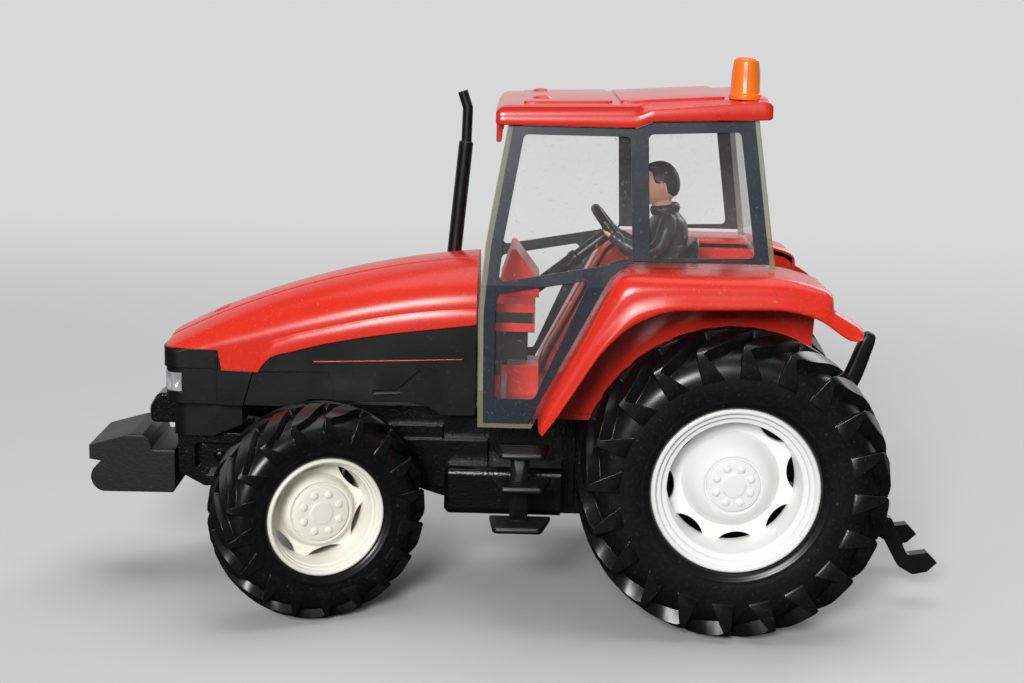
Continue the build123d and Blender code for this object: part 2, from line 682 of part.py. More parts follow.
# x, underside, crease, half width at the shoulder, shoulder z, crown z; heights above the cab
roof_rear_x = cab_rear_x + 1.7
roof_sections = (
    (cab_front_x - 2.1, 0.2, 1.2, 21.8, 2.2, 2.6),
    (cab_front_x - 3.0, 0.0, 1.4, 21.4, 3.3, 3.6),
    (roof_step_x, 0.0, 2.0, 21.2, 3.9, 4.5),
    (roof_step_x - 3.0, 1.2, 3.1, 19.6, 4.3, 4.9),
    (roof_rear_x + 1.2, 1.9, 4.9, 19.8, 5.6, 6.0),
    (roof_rear_x, 2.0, 4.3, 19.8, 5.2, 5.6),
)
with BuildPart() as roof:
    for x, under, crease_z, shoulder, shoulder_z, crown_z in roof_sections:
        low = max(cab_top_z + under, roof_under(x))
        with BuildSketch(front_plane(x)):
            with BuildLine():
                Polyline(
                    (-roof_half, low), (roof_half, low), (roof_half, cab_top_z + crease_z),
                    (shoulder, cab_top_z + shoulder_z), (0, cab_top_z + crown_z),
                    (-shoulder, cab_top_z + shoulder_z), (-roof_half, cab_top_z + crease_z), close=True,
                )
            make_face()
    loft(ruled=True)
    # raised top panels with a seam between them
    for front, rear, front_z, rear_z in (
        (cab_front_x - 6.9, roof_step_x + 4.3, 3.9, 4.7), (roof_step_x + 2.7, roof_rear_x + 8.0, 4.8, 6.1),
    ):
        with BuildPart(mode=Mode.PRIVATE) as raised:
            with BuildSketch(side_plane(0)):
                with BuildLine():
                    Polyline(
                        (front, cab_top_z + 3.0), (front, cab_top_z + front_z), (rear, cab_top_z + rear_z),
                        (rear, cab_top_z + 3.0), close=True,
                    )
                make_face()
            extrude(amount=17.8, both=True)
            chamfer(raised.edges().group_by(Axis.Z)[-1], 0.3)
        add(raised.part)
    # two low domes and the visor tabs over the windscreen
    for sign in (1, -1):
        with Locations((cab_front_x - 10.2, sign * 11.0, cab_top_z + 3.3)):
            Sphere(1.8)
        with Locations((cab_front_x - 2.65, sign * 14.0, cab_top_z - 1.7)):
            Box(1.3, 4.0, 3.8)
    # seat of the beacon
    with Locations((roof_rear_x + 4.6, 18.0, cab_top_z + 4.8)):
        Cylinder(3.0, 2.0)
save(roof, "cab_roof")

beacon_z = cab_top_z + 5.8
with BuildPart() as beacon:
    with BuildSketch(Plane.XY.offset(beacon_z)):
        with Locations((roof_rear_x + 4.6, 18.0)):
            Circle(2.6)
    extrude(amount=1.0)
    with BuildSketch(Plane.XY.offset(beacon_z + 1.0)):
        with Locations((roof_rear_x + 4.6, 18.0)):
            Circle(2.4)
    extrude(amount=5.8, taper=3)
    fillet(beacon.faces().sort_by(Axis.Z)[-1].edges(), 0.8)
save(beacon, "beacon")

# ---- fenders: shell with a rounded crown over each rear wheel, and its inner wall ----
fender_outline = (
    (fender_line[0][1], fender_tip_z), (read_table(fender_line, fender_top_z), fender_top_z),
    (rear_axle_x - 6.0, fender_top_z), (rear_axle_x - 15.2, fender_top_z - 1.9),
    (rear_axle_x - 21.2, fender_top_z - 8.2), (rear_axle_x - 18.3, fender_top_z - 9.6),
)
hub = (rear_axle_x, rear_axle_z)


def fender_face(y, foot):
    """Fender outline in side view with a rounded top, closed through the foot points."""
    with BuildSketch(side_plane(y)) as face:
        with BuildLine():
            Polyline(*fender_outline, *foot, close=True)
        make_face()
        fillet([point for point in face.vertices() if point.Y > fender_top_z - 2.5], 6.0)
    return face.sketch


under_wheel = (hub, (rear_axle_x + 31.0, fender_tip_z))
for side, sign in (("left", 1), ("right", -1)):
    depth = fender_outer_y - fender_inner_y
    with BuildPart() as fender:
        extrude(fender_face(sign * fender_outer_y, under_wheel), amount=sign * depth)
        # rounded crown along the outer face, between the tip and the rear end
        crown = [
            edge for edge in fender.edges()
            if abs(edge.center().Y - sign * fender_outer_y) < 0.01 and edge.center().Z > fender_tip_z + 1
            and (edge.length > 4.6 or edge.geom_type == GeomType.CIRCLE)
            and (edge.center() - Vector(rear_axle_x, sign * fender_outer_y, rear_axle_z)).length > arch_r
        ]
        fillet(crown, crown_r)
        with BuildSketch(side_plane(sign * fender_outer_y)):
            with Locations(hub):
                Circle(arch_r)
        extrude(amount=sign * depth, mode=Mode.SUBTRACT)
    # hollow from below
        hollow = offset(
            fender_face(sign * (fender_outer_y - fender_wall), under_wheel),
            amount=-fender_wall, kind=Kind.INTERSECTION, mode=Mode.PRIVATE,
        )
        extrude(hollow, amount=sign * (depth - 2 * fender_wall), mode=Mode.SUBTRACT)
        # inner wall beside the cab and the gearbox
        wall = fender_face(sign * (fender_inner_y + fender_wall), ((rear_axle_x - 14.0, fender_tip_z),))
        extrude(wall, amount=sign * fender_wall)
    save(fender, f"fender_{side}")

# ---- cab interior ----
floor_half = fender_inner_y - 0.2
seat_front_x = rear_axle_x + 18.5
ledge_low_z = 51.1
ledge_high_z = 56.4
with BuildPart() as cab_floor:
    with BuildSketch(side_plane(0)):
        with BuildLine():
            Polyline(
                (cab_front_x - 2.4, chassis_top_z), (cab_front_x - 2.4, ledge_high_z),
                (cab_front_x - 10.0, ledge_high_z), (cab_front_x - 10.0, ledge_high_z - 1.7),
                (cab_front_x - 9.4, ledge_high_z - 1.7), (cab_front_x - 9.4, ledge_low_z + 1.6),
                (cab_front_x - 10.0, ledge_low_z + 1.6), (cab_front_x - 10.0, ledge_low_z),
                (cab_front_x - 3.8, ledge_low_z), (cab_front_x - 3.8, floor_z), (seat_front_x + 2.5, floor_z),
                (seat_front_x, 52.0), (cab_rear_x + 1.4, 52.0), (cab_rear_x + 1.4, chassis_top_z), close=True,
            )
        make_face()
    extrude(amount=floor_half, both=True)
    # footwell floor out to the doors
    with Locations(((cab_front_x - 2.4 + door_edge(cab_base_z)) / 2, 0, (chassis_top_z + floor_z) / 2)):
        Box(cab_front_x - 2.4 - door_edge(cab_base_z), 2 * (cab_base_half - cab_wall - 0.2), floor_z - chassis_top_z)
    # tunnel over the gearbox
    with Locations((cab_front_x - 8.0, 0, (floor_z + 42.7) / 2)):
        Box(6.0, 9.0, 42.7 - floor_z)
save(cab_floor, "cab_floor")


def body_z(share):
    """Height at a share of the figure, from the seat to the top of the head."""
    return seat_z + share * (head_top_z - seat_z)


column_top = Vector(seat_front_x + 3.45, 0, body_z(0.458))
column_dir = Vector(11.9, 0, -9.5).normalized()
column_len = 18.4
with BuildPart() as dashboard:
    add(
        outline_solid(
            (
                (cab_front_x - 3.2, ledge_high_z), (cab_front_x - 3.4, 59.1), (cab_front_x - 5.4, 65.4),
                (cab_front_x - 6.2, 65.4), (cab_front_x - 10.7, 59.5), (cab_front_x - 10.7, ledge_high_z),
            ),
            7.5,
        )
    )
    with BuildSketch(Plane(origin=column_top, z_dir=column_dir)):
        Circle(column_r + seat_gap)
    extrude(amount=column_len + seat_gap, mode=Mode.SUBTRACT)
    # console under the ledge
    with Locations((cab_front_x - 6.3, 0, (44.5 + ledge_low_z) / 2)):
        Box(5.0, 16.0, ledge_low_z - 44.5)
save(dashboard, "dashboard")

with BuildPart() as steering_wheel:
    with BuildSketch(Plane(origin=column_top, x_dir=(0, 1, 0), z_dir=column_dir)):
        Circle(5.6)
        Circle(4.6, mode=Mode.SUBTRACT)
        Rectangle(9.6, 1.0)
        with Locations((0, -2.4)):
            Rectangle(1.0, 4.6)
        Circle(1.6)
    extrude(amount=1.0)
    fillet(steering_wheel.edges().filter_by(GeomType.CIRCLE).group_by(SortBy.RADIUS)[-1], 0.4)
    with BuildSketch(Plane(origin=column_top + column_dir * 1.0, z_dir=column_dir)):
        Circle(column_r)
    extrude(amount=column_len - 1.0)
save(steering_wheel, "steering_wheel")

back_x = rear_axle_x + 7.2
with BuildPart() as seat:
    with BuildSketch(side_plane(0)) as outline:
        with BuildLine():
            Polyline(
                (seat_front_x - 2.4, 52.0), (seat_front_x - 2.4, 54.4), (seat_front_x - 0.6, 55.2),
                (seat_front_x - 0.8, seat_z - 0.6), (back_x, seat_z - 0.2), (back_x - 1.2, body_z(0.50)),
                (back_x - 6.2, body_z(0.50)), (back_x - 6.8, 52.0), close=True,
            )
        make_face()
        fillet([point for point in outline.vertices() if point.Y > 55], 0.7)
    extrude(amount=7.0, both=True)
    fillet(seat.faces().filter_by(Axis.Y).edges().filter_by(lambda edge: edge.center().Z > 56), 0.6)
save(seat, "seat")

# share of the height, x of the middle, half depth and half width
torso_sections = ((0.02, 12.0, 3.6, 4.4), (0.30, 12.0, 3.2, 4.3), (0.56, 11.4, 3.2, 5.6), (0.67, 11.2, 1.9, 3.0))
with BuildPart() as driver:
    for share, x, depth, half in torso_sections:
        with BuildSketch(Plane.XY.offset(body_z(share))):
            with Locations((rear_axle_x + x, 0)):
                Ellipse(depth, half)
    loft()
    with Locations((rear_axle_x + 12.6, 0, body_z(0.70))):
        Cylinder(1.9, 4.0)
    head_r = (head_top_z - body_z(0.69)) / 2
    with Locations((rear_axle_x + 12.9, 0, head_top_z - head_r)):
        Sphere(head_r)
    for sign in (1, -1):
        shoulder = (rear_axle_x + 11.6, sign * 4.9, body_z(0.58))
        elbow = (rear_axle_x + 15.4, sign * 6.6, body_z(0.34))
        hand = column_top - column_dir * 1.9 + Vector(0, sign * 5.0, 0)
        hip = (rear_axle_x + 13.0, sign * 2.6, seat_z + 2.4)
        knee = (rear_axle_x + 22.0, sign * 3.6, seat_z + 1.8)
        foot = (rear_axle_x + 27.0, sign * 3.6, floor_z + 2.0)
        for start, end, radius in (
            (shoulder, elbow, 1.7), (elbow, hand, 1.35), (hip, knee, 2.0), (knee, foot, 1.7),
        ):
            add(rod(start, end, radius))
save(driver, "driver")

# ---- access steps: trays on a post under the cab floor ----
tray_t = 1.1
post_y = 26.4
for side, sign in (("left", 1), ("right", -1)):
    with BuildPart() as steps:
        with Locations((cab_front_x - 7.9, sign * (post_y + 0.8), 25.8)):
            Box(2.8, 1.6, 15.2)
        for low, inner_y in ((31.7, 22.5), (25.1, 24.5), (18.2, 24.5)):
            with BuildSketch(Plane.XY.offset(low)):
                with BuildLine():
                    Polyline(
                        (cab_front_x - 2.8, sign * inner_y), (cab_front_x - 3.4, sign * 31.4),
                        (cab_front_x - 11.6, sign * 31.4), (cab_front_x - 13.4, sign * inner_y), close=True,
                    )
                make_face()
            extrude(amount=tray_t)
            # upturned lip along the outer edge
            with Locations((cab_front_x - 7.5, sign * 31.1, low + tray_t + 0.25)):
                Box(8.0, 0.6, 0.5)
        with Locations((cab_front_x - 8.4, sign * 20.5, chassis_top_z - 0.8)):
            Box(3.6, 15.0, 1.6)
    save(steps, f"steps_{side}")

# ---- rear linkage: lower links on a cross pin, top link stowed upright ----
link_y = 9.0
hook_x = gearbox_rear_x - 30.2
with BuildPart() as lower_links:
    with Locations(Plane(origin=link_pin, z_dir=(0, 1, 0))):
        Cylinder(link_pin_r, 2 * link_y + 2.4)
    for sign in (1, -1):
        with BuildSketch(side_plane(sign * link_y)) as outline:
            with BuildLine():
                Polyline(
                    (link_pin.X + 2.2, 18.0), (link_pin.X + 2.2, 22.0), (link_pin.X - 2.0, 22.6),
                    (hook_x + 9.2, 15.8), (hook_x + 5.8, 8.6), (hook_x + 2.0, 9.2), (hook_x, 7.2),
                    (hook_x + 1.8, 5.4), (hook_x + 4.6, 4.8), (hook_x + 7.4, 6.4), (hook_x + 10.8, 12.4),
                    (link_pin.X - 1.0, 17.6), close=True,
                )
            make_face()
            fillet([point for point in outline.vertices() if point.X > hook_x + 3], 0.8)
        extrude(amount=1.2, both=True)
save(lower_links, "lower_links")

with BuildPart() as top_link:
    with BuildSketch(side_plane(0)) as outline:
        with BuildLine():
            Polyline(
                (gearbox_rear_x - 4.0, 25.0), (gearbox_rear_x, 25.0), (gearbox_rear_x, 31.0),
                (gearbox_rear_x - 14.8, 37.0), (gearbox_rear_x - 17.6, 47.2), (gearbox_rear_x - 19.6, 48.4),
                (gearbox_rear_x - 21.6, 48.0), (gearbox_rear_x - 18.4, 35.8), close=True,
            )
        make_face()
        fillet([point for point in outline.vertices() if point.X < gearbox_rear_x - 5], 0.6)
    extrude(amount=1.6, both=True)
    # lugs that hold the link on the gearbox
    for sign in (1, -1):
        with Locations((gearbox_rear_x - 1.6, sign * 2.2, 28.0)):
            Box(3.2, 1.2, 5.0)
save(top_link, "top_link")
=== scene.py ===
import json
import math

import bpy
import numpy as np
from mathutils import Matrix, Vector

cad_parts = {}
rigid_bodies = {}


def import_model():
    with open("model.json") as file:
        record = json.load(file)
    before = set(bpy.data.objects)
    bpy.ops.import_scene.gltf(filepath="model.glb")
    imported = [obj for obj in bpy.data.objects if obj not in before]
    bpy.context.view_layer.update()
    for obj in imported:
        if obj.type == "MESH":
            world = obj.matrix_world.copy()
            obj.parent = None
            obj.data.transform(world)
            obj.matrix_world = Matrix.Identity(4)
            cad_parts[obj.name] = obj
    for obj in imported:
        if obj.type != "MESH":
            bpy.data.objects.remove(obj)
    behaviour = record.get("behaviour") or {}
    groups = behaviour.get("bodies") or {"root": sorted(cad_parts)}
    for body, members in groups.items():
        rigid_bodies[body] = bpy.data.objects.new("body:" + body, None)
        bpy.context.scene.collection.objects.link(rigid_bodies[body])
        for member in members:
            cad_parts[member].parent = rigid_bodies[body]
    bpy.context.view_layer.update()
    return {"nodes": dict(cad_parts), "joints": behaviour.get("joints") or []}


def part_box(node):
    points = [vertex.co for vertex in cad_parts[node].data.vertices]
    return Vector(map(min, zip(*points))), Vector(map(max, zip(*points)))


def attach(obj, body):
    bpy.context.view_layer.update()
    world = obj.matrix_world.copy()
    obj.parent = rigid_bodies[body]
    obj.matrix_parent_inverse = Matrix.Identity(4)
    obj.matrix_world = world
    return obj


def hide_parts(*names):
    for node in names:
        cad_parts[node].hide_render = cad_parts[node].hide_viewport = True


# Toy farm tractor. Points are worked out in millimetres and written in metres.
for leftover in list(bpy.data.objects):
    bpy.data.objects.remove(leftover)
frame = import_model()
nodes = frame["nodes"]
joints = {joint["name"]: joint for joint in frame["joints"]}
scene = bpy.context.scene
mm = 0.001
# heights are taken from a datum a little above the ground: the rear hubs stand 27 mm above it
hubX, hubHeight = np.array(joints["rear_left_roll"]["pos_m"])[[0, 2]] / mm
hubZ = 27.0
lift = np.array((0.0, 0.0, hubHeight - hubZ))
print("frame loaded:", len(nodes), "nodes")


def boxOf(node):
    # lowest and highest corner of a CAD node, from the datum
    return [np.array(corner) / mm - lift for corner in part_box(node)]


def pointsOf(node):
    mesh = nodes[node].data
    points = np.empty(len(mesh.vertices) * 3)
    mesh.vertices.foreach_get("co", points)
    return points.reshape(-1, 3) / mm - lift


def unit(vector):
    vector = np.asarray(vector, float)
    return vector / np.linalg.norm(vector)


def turns(count):
    # angles evenly round a full turn
    return np.linspace(0, 2 * math.pi, count, endpoint=False)


def quarter(count):
    # angles over a quarter turn, both ends included
    return np.linspace(0, math.pi / 2, count)


def signedPower(value, exponent):
    return np.sign(value) * np.abs(value) ** exponent


def gridFaces(rows, columns, closeRows=False):
    # quads between neighbouring points of a rows x columns grid whose rows are closed rings
    i = np.arange(rows if closeRows else rows - 1)[:, None]
    j = np.arange(columns)[None, :]
    nextI, nextJ = (i + 1) % rows, (j + 1) % columns
    corners = (i * columns + j, nextI * columns + j, nextI * columns + nextJ, i * columns + nextJ)
    return np.stack(corners, -1).reshape(-1, 4)


class Shape:
    # one piece being put together from closed surfaces, in millimetres from the datum
    def __init__(self):
        self.points, self.faces, self.count = [], [], 0

    def add(self, points, *faces):
        # the faces are turned outwards: the volume sum of a . (b x c) / 6 comes out above zero
        volume = 0
        for part in faces:
            a = points[part[:, 0]]
            for k in range(1, part.shape[1] - 1):
                volume += np.sum(a * np.cross(points[part[:, k]], points[part[:, k + 1]]))
        for part in faces:
            self.faces += ((part if volume >= 0 else part[:, ::-1]) + self.count).tolist()
        self.points.append(points)
        self.count += len(points)

    def tube(self, rings):
        # rings of points joined in order, each end closed by a fan to its middle
        rows, columns = rings.shape[:2]
        total = rows * columns
        j = np.arange(columns)
        k = (j + 1) % columns
        first = np.stack([np.full(columns, total), j, k], -1)
        last = np.stack([np.full(columns, total + 1), total - columns + k, total - columns + j], -1)
        points = np.concatenate([rings.reshape(-1, 3), [rings[0].mean(0), rings[-1].mean(0)]])
        self.add(points, gridFaces(rows, columns), first, last)

    def loop(self, rings):
        # rings of points joined in order and back to the first
        self.add(rings.reshape(-1, 3), gridFaces(*rings.shape[:2], True))

    def rod(self, points, count, radii, sides=24, **form):
        # pipe along the smooth line through points
        self.tube(pipe(curve(points, count), radii, sides, **form))

    def slab(self, corners, radius, steps, low, high, **form):
        # outline with rounded corners carried from low to high
        self.tube(prism(roundedPath(corners, radius, steps), low, high, **form))

    def make(self, name, paint, replaces, slot, sharp=40, body="tractor"):
        mesh = bpy.data.meshes.new(name)
        mesh.from_pydata(((np.concatenate(self.points) + lift) * mm).tolist(), [], self.faces)
        mesh.materials.append(paints[paint])
        mesh.polygons.foreach_set("use_smooth", [True] * len(self.faces))
        mesh.set_sharp_from_angle(angle=math.radians(sharp))
        piece = bpy.data.objects.new(name, mesh)
        scene.collection.objects.link(piece)
        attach(piece, body)
        if replaces:
            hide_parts(*replaces)


def roundedPath(corners, radius, steps=4, closed=True):
    # path through corners, each cut by a curve (1-t)^2 a + 2 t (1-t) corner + t^2 b, t from 0 to 1;
    # a and b lie radius away from the corner on its two sides, or 0.45 of the side's length
    corners = np.asarray(corners, float)
    before, after = np.roll(corners, 1, 0) - corners, np.roll(corners, -1, 0) - corners
    reach = []
    for side in (before, after):
        length = np.linalg.norm(side, axis=1, keepdims=True)
        reach.append(corners + side / length * np.minimum(radius, 0.45 * length))
    t = np.linspace(0, 1, steps)[None, :, None]
    a, c, b = reach[0][:, None], corners[:, None], reach[1][:, None]
    path = (1 - t) ** 2 * a + 2 * t * (1 - t) * c + t**2 * b
    if not closed:
        path[0], path[-1] = corners[0], corners[-1]
    return path.reshape(-1, corners.shape[1])


def along(path, count):
    # count points evenly spaced along a path
    path = np.asarray(path, float)
    length = np.concatenate([[0], np.cumsum(np.linalg.norm(np.diff(path, axis=0), axis=1))])
    wanted = np.linspace(0, length[-1], count)
    return np.stack([np.interp(wanted, length, column) for column in path.T], -1)


def curve(points, count):
    # smooth line through points: each stretch is the cubic with slopes (next - previous) / 2
    points = np.asarray(points, float)
    ends = np.concatenate([[2 * points[0] - points[1]], points, [2 * points[-1] - points[-2]]])
    place = np.linspace(0, len(points) - 1, count)
    k = np.minimum(place.astype(int), len(points) - 2)
    t = (place - k)[:, None]
    a, b, c, d = (ends[k + n] for n in range(4))
    return 0.5 * (2 * b + (c - a) * t + (2 * a - 5 * b + 4 * c - d) * t**2 + (3 * b - a - 3 * c + d) * t**3)


def pipe(path, radii, sides=16, wide=(0, 1, 0), flat=1.0, power=1.0, ends=True):
    # rings round a path: centre + r cos(a)^power wide + flat r sin(a)^power across, with domed ends;
    # radii is one radius, one for each point, or pairs of a share of the path and the radius there
    radii = np.asarray(radii, float)
    if radii.ndim == 2:
        radii = np.interp(np.linspace(0, 1, len(path)), *radii.T)
    radii = np.broadcast_to(radii, (len(path),))
    way = np.gradient(path, axis=0)
    way /= np.linalg.norm(way, axis=1, keepdims=True)
    wide = np.asarray(wide, float) - way * (way @ np.asarray(wide, float))[:, None]
    wide /= np.linalg.norm(wide, axis=1, keepdims=True)
    across = np.cross(way, wide)
    if ends:
        t = np.radians((80, 55, 28))
        rise, shrink = 0.7 * np.sin(t)[:, None], np.cos(t)
        first, last = path[:1] - way[:1] * radii[0] * rise, path[-1:] + way[-1:] * radii[-1] * rise[::-1]
        path = np.concatenate([first, path, last])
        radii = np.concatenate([radii[0] * shrink, radii, radii[-1] * shrink[::-1]])
        wide, across = (np.concatenate([v[:1]] * 3 + [v] + [v[-1:]] * 3) for v in (wide, across))
    angle = turns(sides)[None, :, None]
    x = signedPower(np.cos(angle), power) * wide[:, None]
    y = signedPower(np.sin(angle), power) * across[:, None] * flat
    return path[:, None] + radii[:, None, None] * (x + y)


def mirroredRings(x, y, z, end=None):
    # half sections at each x, each joined to its mirror image in the middle plane; end is -1 where both
    # ends of the half lie in that plane
    half = np.stack([np.broadcast_to(x[:, None], y.shape), y, z], -1)
    return np.concatenate([half, (half * (1, -1, 1))[:, ::-1][:, 1:end]], 1)


def prism(outline, low, high, ease=0.15, across=1):
    # closed outline carried from low to high along axis number across, its ends drawn in by ease
    middle = outline.mean(0)
    small = middle + (outline - middle) * (1 - ease / np.abs(outline - middle).max(0))
    levels = ((low, small), (low + ease, outline), (high - ease, outline), (high, small))
    return np.stack([np.insert(path, across, at, axis=1) for at, path in levels])


def lathe(profile, centre, axis=(0, 0, 1), wide=(1, 0, 0), sides=40):
    # profile of (radius, height) carried round an axis
    radius, height = np.asarray(profile, float).T[:, :, None, None]
    angle = turns(sides)[None, :, None]
    out = np.cos(angle) * np.asarray(wide, float) + np.sin(angle) * np.cross(axis, wide)
    return centre + radius * out + height * np.asarray(axis, float)


class Wire:
    # a socket that takes part in sums: each operator adds its Math node
    def __init__(self, finish, socket):
        self.finish = finish
        self.socket = socket

    def maths(self, operation, *values):
        return self.finish.node("Math", dict(operation=operation), dict(enumerate(values)))

    def __add__(self, other):
        return self.maths("ADD", self, other)

    def __sub__(self, other):
        return self.maths("SUBTRACT", self, other)

    def __rsub__(self, other):
        return self.maths("SUBTRACT", other, self)

    def __mul__(self, other):
        return self.maths("MULTIPLY", self, other)

    def __truediv__(self, other):
        return self.maths("DIVIDE", self, other)

    def __pow__(self, other):
        return self.maths("POWER", self, other)

    __radd__ = __add__
    __rmul__ = __mul__

    def least(self, other):
        return self.maths("MINIMUM", self, other)

    def most(self, other):
        return self.maths("MAXIMUM", self, other)

    def size(self):
        return self.maths("ABSOLUTE", self)

    def rise(self, low, high):
        # 0 below low, 1 above high, smooth between them
        settings = dict(interpolation_type="SMOOTHSTEP")
        return self.finish.node("MapRange", settings, {"Value": self, "From Min": low, "From Max": high})


class Nodes:
    # the nodes of one material or world
    def __init__(self, tree):
        self.tree = tree

    def node(self, kind, settings=None, inputs=None, out=0):
        # any node: its settings first, then the values or links of its sockets
        made = self.tree.nodes.new("ShaderNode" + kind)
        for key, value in (settings or {}).items():
            setattr(made, key, value)
        for key, value in (inputs or {}).items():
            if isinstance(value, Wire):
                self.tree.links.new(value.socket, made.inputs[key])
            else:
                made.inputs[key].default_value = value
        return Wire(self, made.outputs[out])


class Finish(Nodes):
    # a material with one Principled shader; fixed values stand on its own sockets
    def __init__(self, name, **fixed):
        self.material = bpy.data.materials.new(name)
        self.material.use_nodes = True
        super().__init__(self.material.node_tree)
        self.shader = self.tree.nodes["Principled BSDF"]
        for socket, value in fixed.items():
            self.shader.inputs[socket.replace("_", " ")].default_value = value
        self.place = self.node("TexCoord", out="Object")

    def feed(self, **wires):
        for socket, wire in wires.items():
            self.tree.links.new(wire.socket, self.shader.inputs[socket.replace("_", " ")])

    def noise(self, grain, detail=2.0, stretch=None, roughness=0.5):
        # soft noise with features about grain millimetres wide, 0 to 1
        place = self.place
        if stretch:
            place = self.node("Mapping", None, {"Vector": place, "Scale": stretch})
        wanted = {"Vector": place, "Scale": 1 / (grain * mm), "Detail": detail, "Roughness": roughness}
        return self.node("TexNoise", None, wanted)

    def specks(self, spacing, radius, seed=0.0):
        # small round specks: 1 inside radius millimetres of scattered points
        place = self.node("Mapping", None, {"Vector": self.place, "Location": (seed, seed * 0.7, -seed)})
        near = self.node("TexVoronoi", None, {"Vector": place, "Scale": 1 / (spacing * mm)}, "Distance")
        reach = radius / spacing
        return 1 - near.rise(reach * 0.6, reach)

    def streaks(self, length, width, slant, seed=0.0):
        # long thin scratches: the line where stretched noise passes 0.5, broken up by other noise
        wanted = {"Vector": self.place, "Rotation": slant, "Scale": (1, 0.03, 1), "Location": (seed, 0, seed)}
        place = self.node("Mapping", None, wanted)
        field = self.node("TexNoise", None, {"Vector": place, "Scale": 1 / (length * mm), "Detail": 1.0})
        line = 1 - (field - 0.5).size().rise(0.0, width)
        return line * self.noise(length * 0.5).rise(0.55, 0.68)

    def blend(self, amount, first, second):
        # colour between two colours
        settings = dict(data_type="RGBA")
        return self.node("Mix", settings, {0: amount, 6: first, 7: second}, 2)

    def relief(self, height, depth, edge=0.0):
        # a bump of depth millimetres on edges rounded by edge millimetres
        inputs = {"Height": height, "Strength": 1.0, "Distance": depth * mm}
        if edge:
            inputs["Normal"] = self.node("Bevel", dict(samples=6), {"Radius": edge * mm})
        self.feed(Normal=self.node("Bump", None, inputs))


def rgb(red, green, blue):
    # a colour as it looks on the screen, 0 to 255, as linear light
    values = np.array((red, green, blue)) / 255
    linear = np.where(values <= 0.04045, values / 12.92, ((values + 0.055) / 1.055) ** 2.4)
    return (*linear.tolist(), 1.0)


def mouldedPlastic(name, colour, dusty, rough=0.3, wave=0.02, edge=0.18, grain=0.0, dust=0.5, **fixed):
    # a moulded plastic: slow changes of colour and gloss, dust specks, scuffs and softened edges.
    # colour mixes to dusty by dust * (specks + scuffs); roughness = rough + 0.16 cloud + 0.3 marks;
    # relief = cloud wave + fine grain
    finish = Finish(name, Roughness=rough, **fixed)
    cloud = finish.noise(9.0, 3.0)
    fine = finish.noise(0.5, 3.0)
    specks = finish.specks(1.9, 0.075, 3.0) * finish.noise(5.0).rise(0.50, 0.60)
    scuffs = finish.streaks(1.6, 0.018, (0.3, 0.8, 0.5)) * 0.35
    marks = (specks + scuffs + (fine - 0.5).most(0.0) * 0.25) * dust
    colours = finish.blend(marks.least(1.0), colour, dusty)
    finish.feed(Base_Color=colours, Roughness=rough + (cloud - 0.5) * 0.16 + marks * 0.3)
    deep = max(wave, grain, 0.001)
    finish.relief(cloud * (wave / deep) + fine * (grain / deep), deep, edge)
    return finish.material


def toneAndShadeBands(name, colours, dusty, levels, rough=0.35):
    # moulded plastic whose colour changes with height: colours[0] below the first level, and so on; on the
    # dashboard these are its own two tones, on the cab floor the black bands are painted shade
    finish = Finish(name, Roughness=rough)
    height = finish.node("SeparateXYZ", None, {"Vector": finish.place}, "Z")
    colour = colours[0]
    for level, above in zip(levels, colours[1:]):
        colour = finish.blend(height.rise((level - 0.06) * mm, (level + 0.06) * mm), colour, above)
    cloud = finish.noise(9.0, 3.0)
    specks = finish.specks(2.2, 0.09, 3.0) * finish.noise(6.0).rise(0.5, 0.6)
    finish.feed(Base_Color=finish.blend(specks * 0.5, colour, dusty), Roughness=rough + (cloud - 0.5) * 0.16)
    finish.relief(cloud + finish.noise(0.5, 3.0) * 0.3, 0.03, 0.2)
    return finish.material


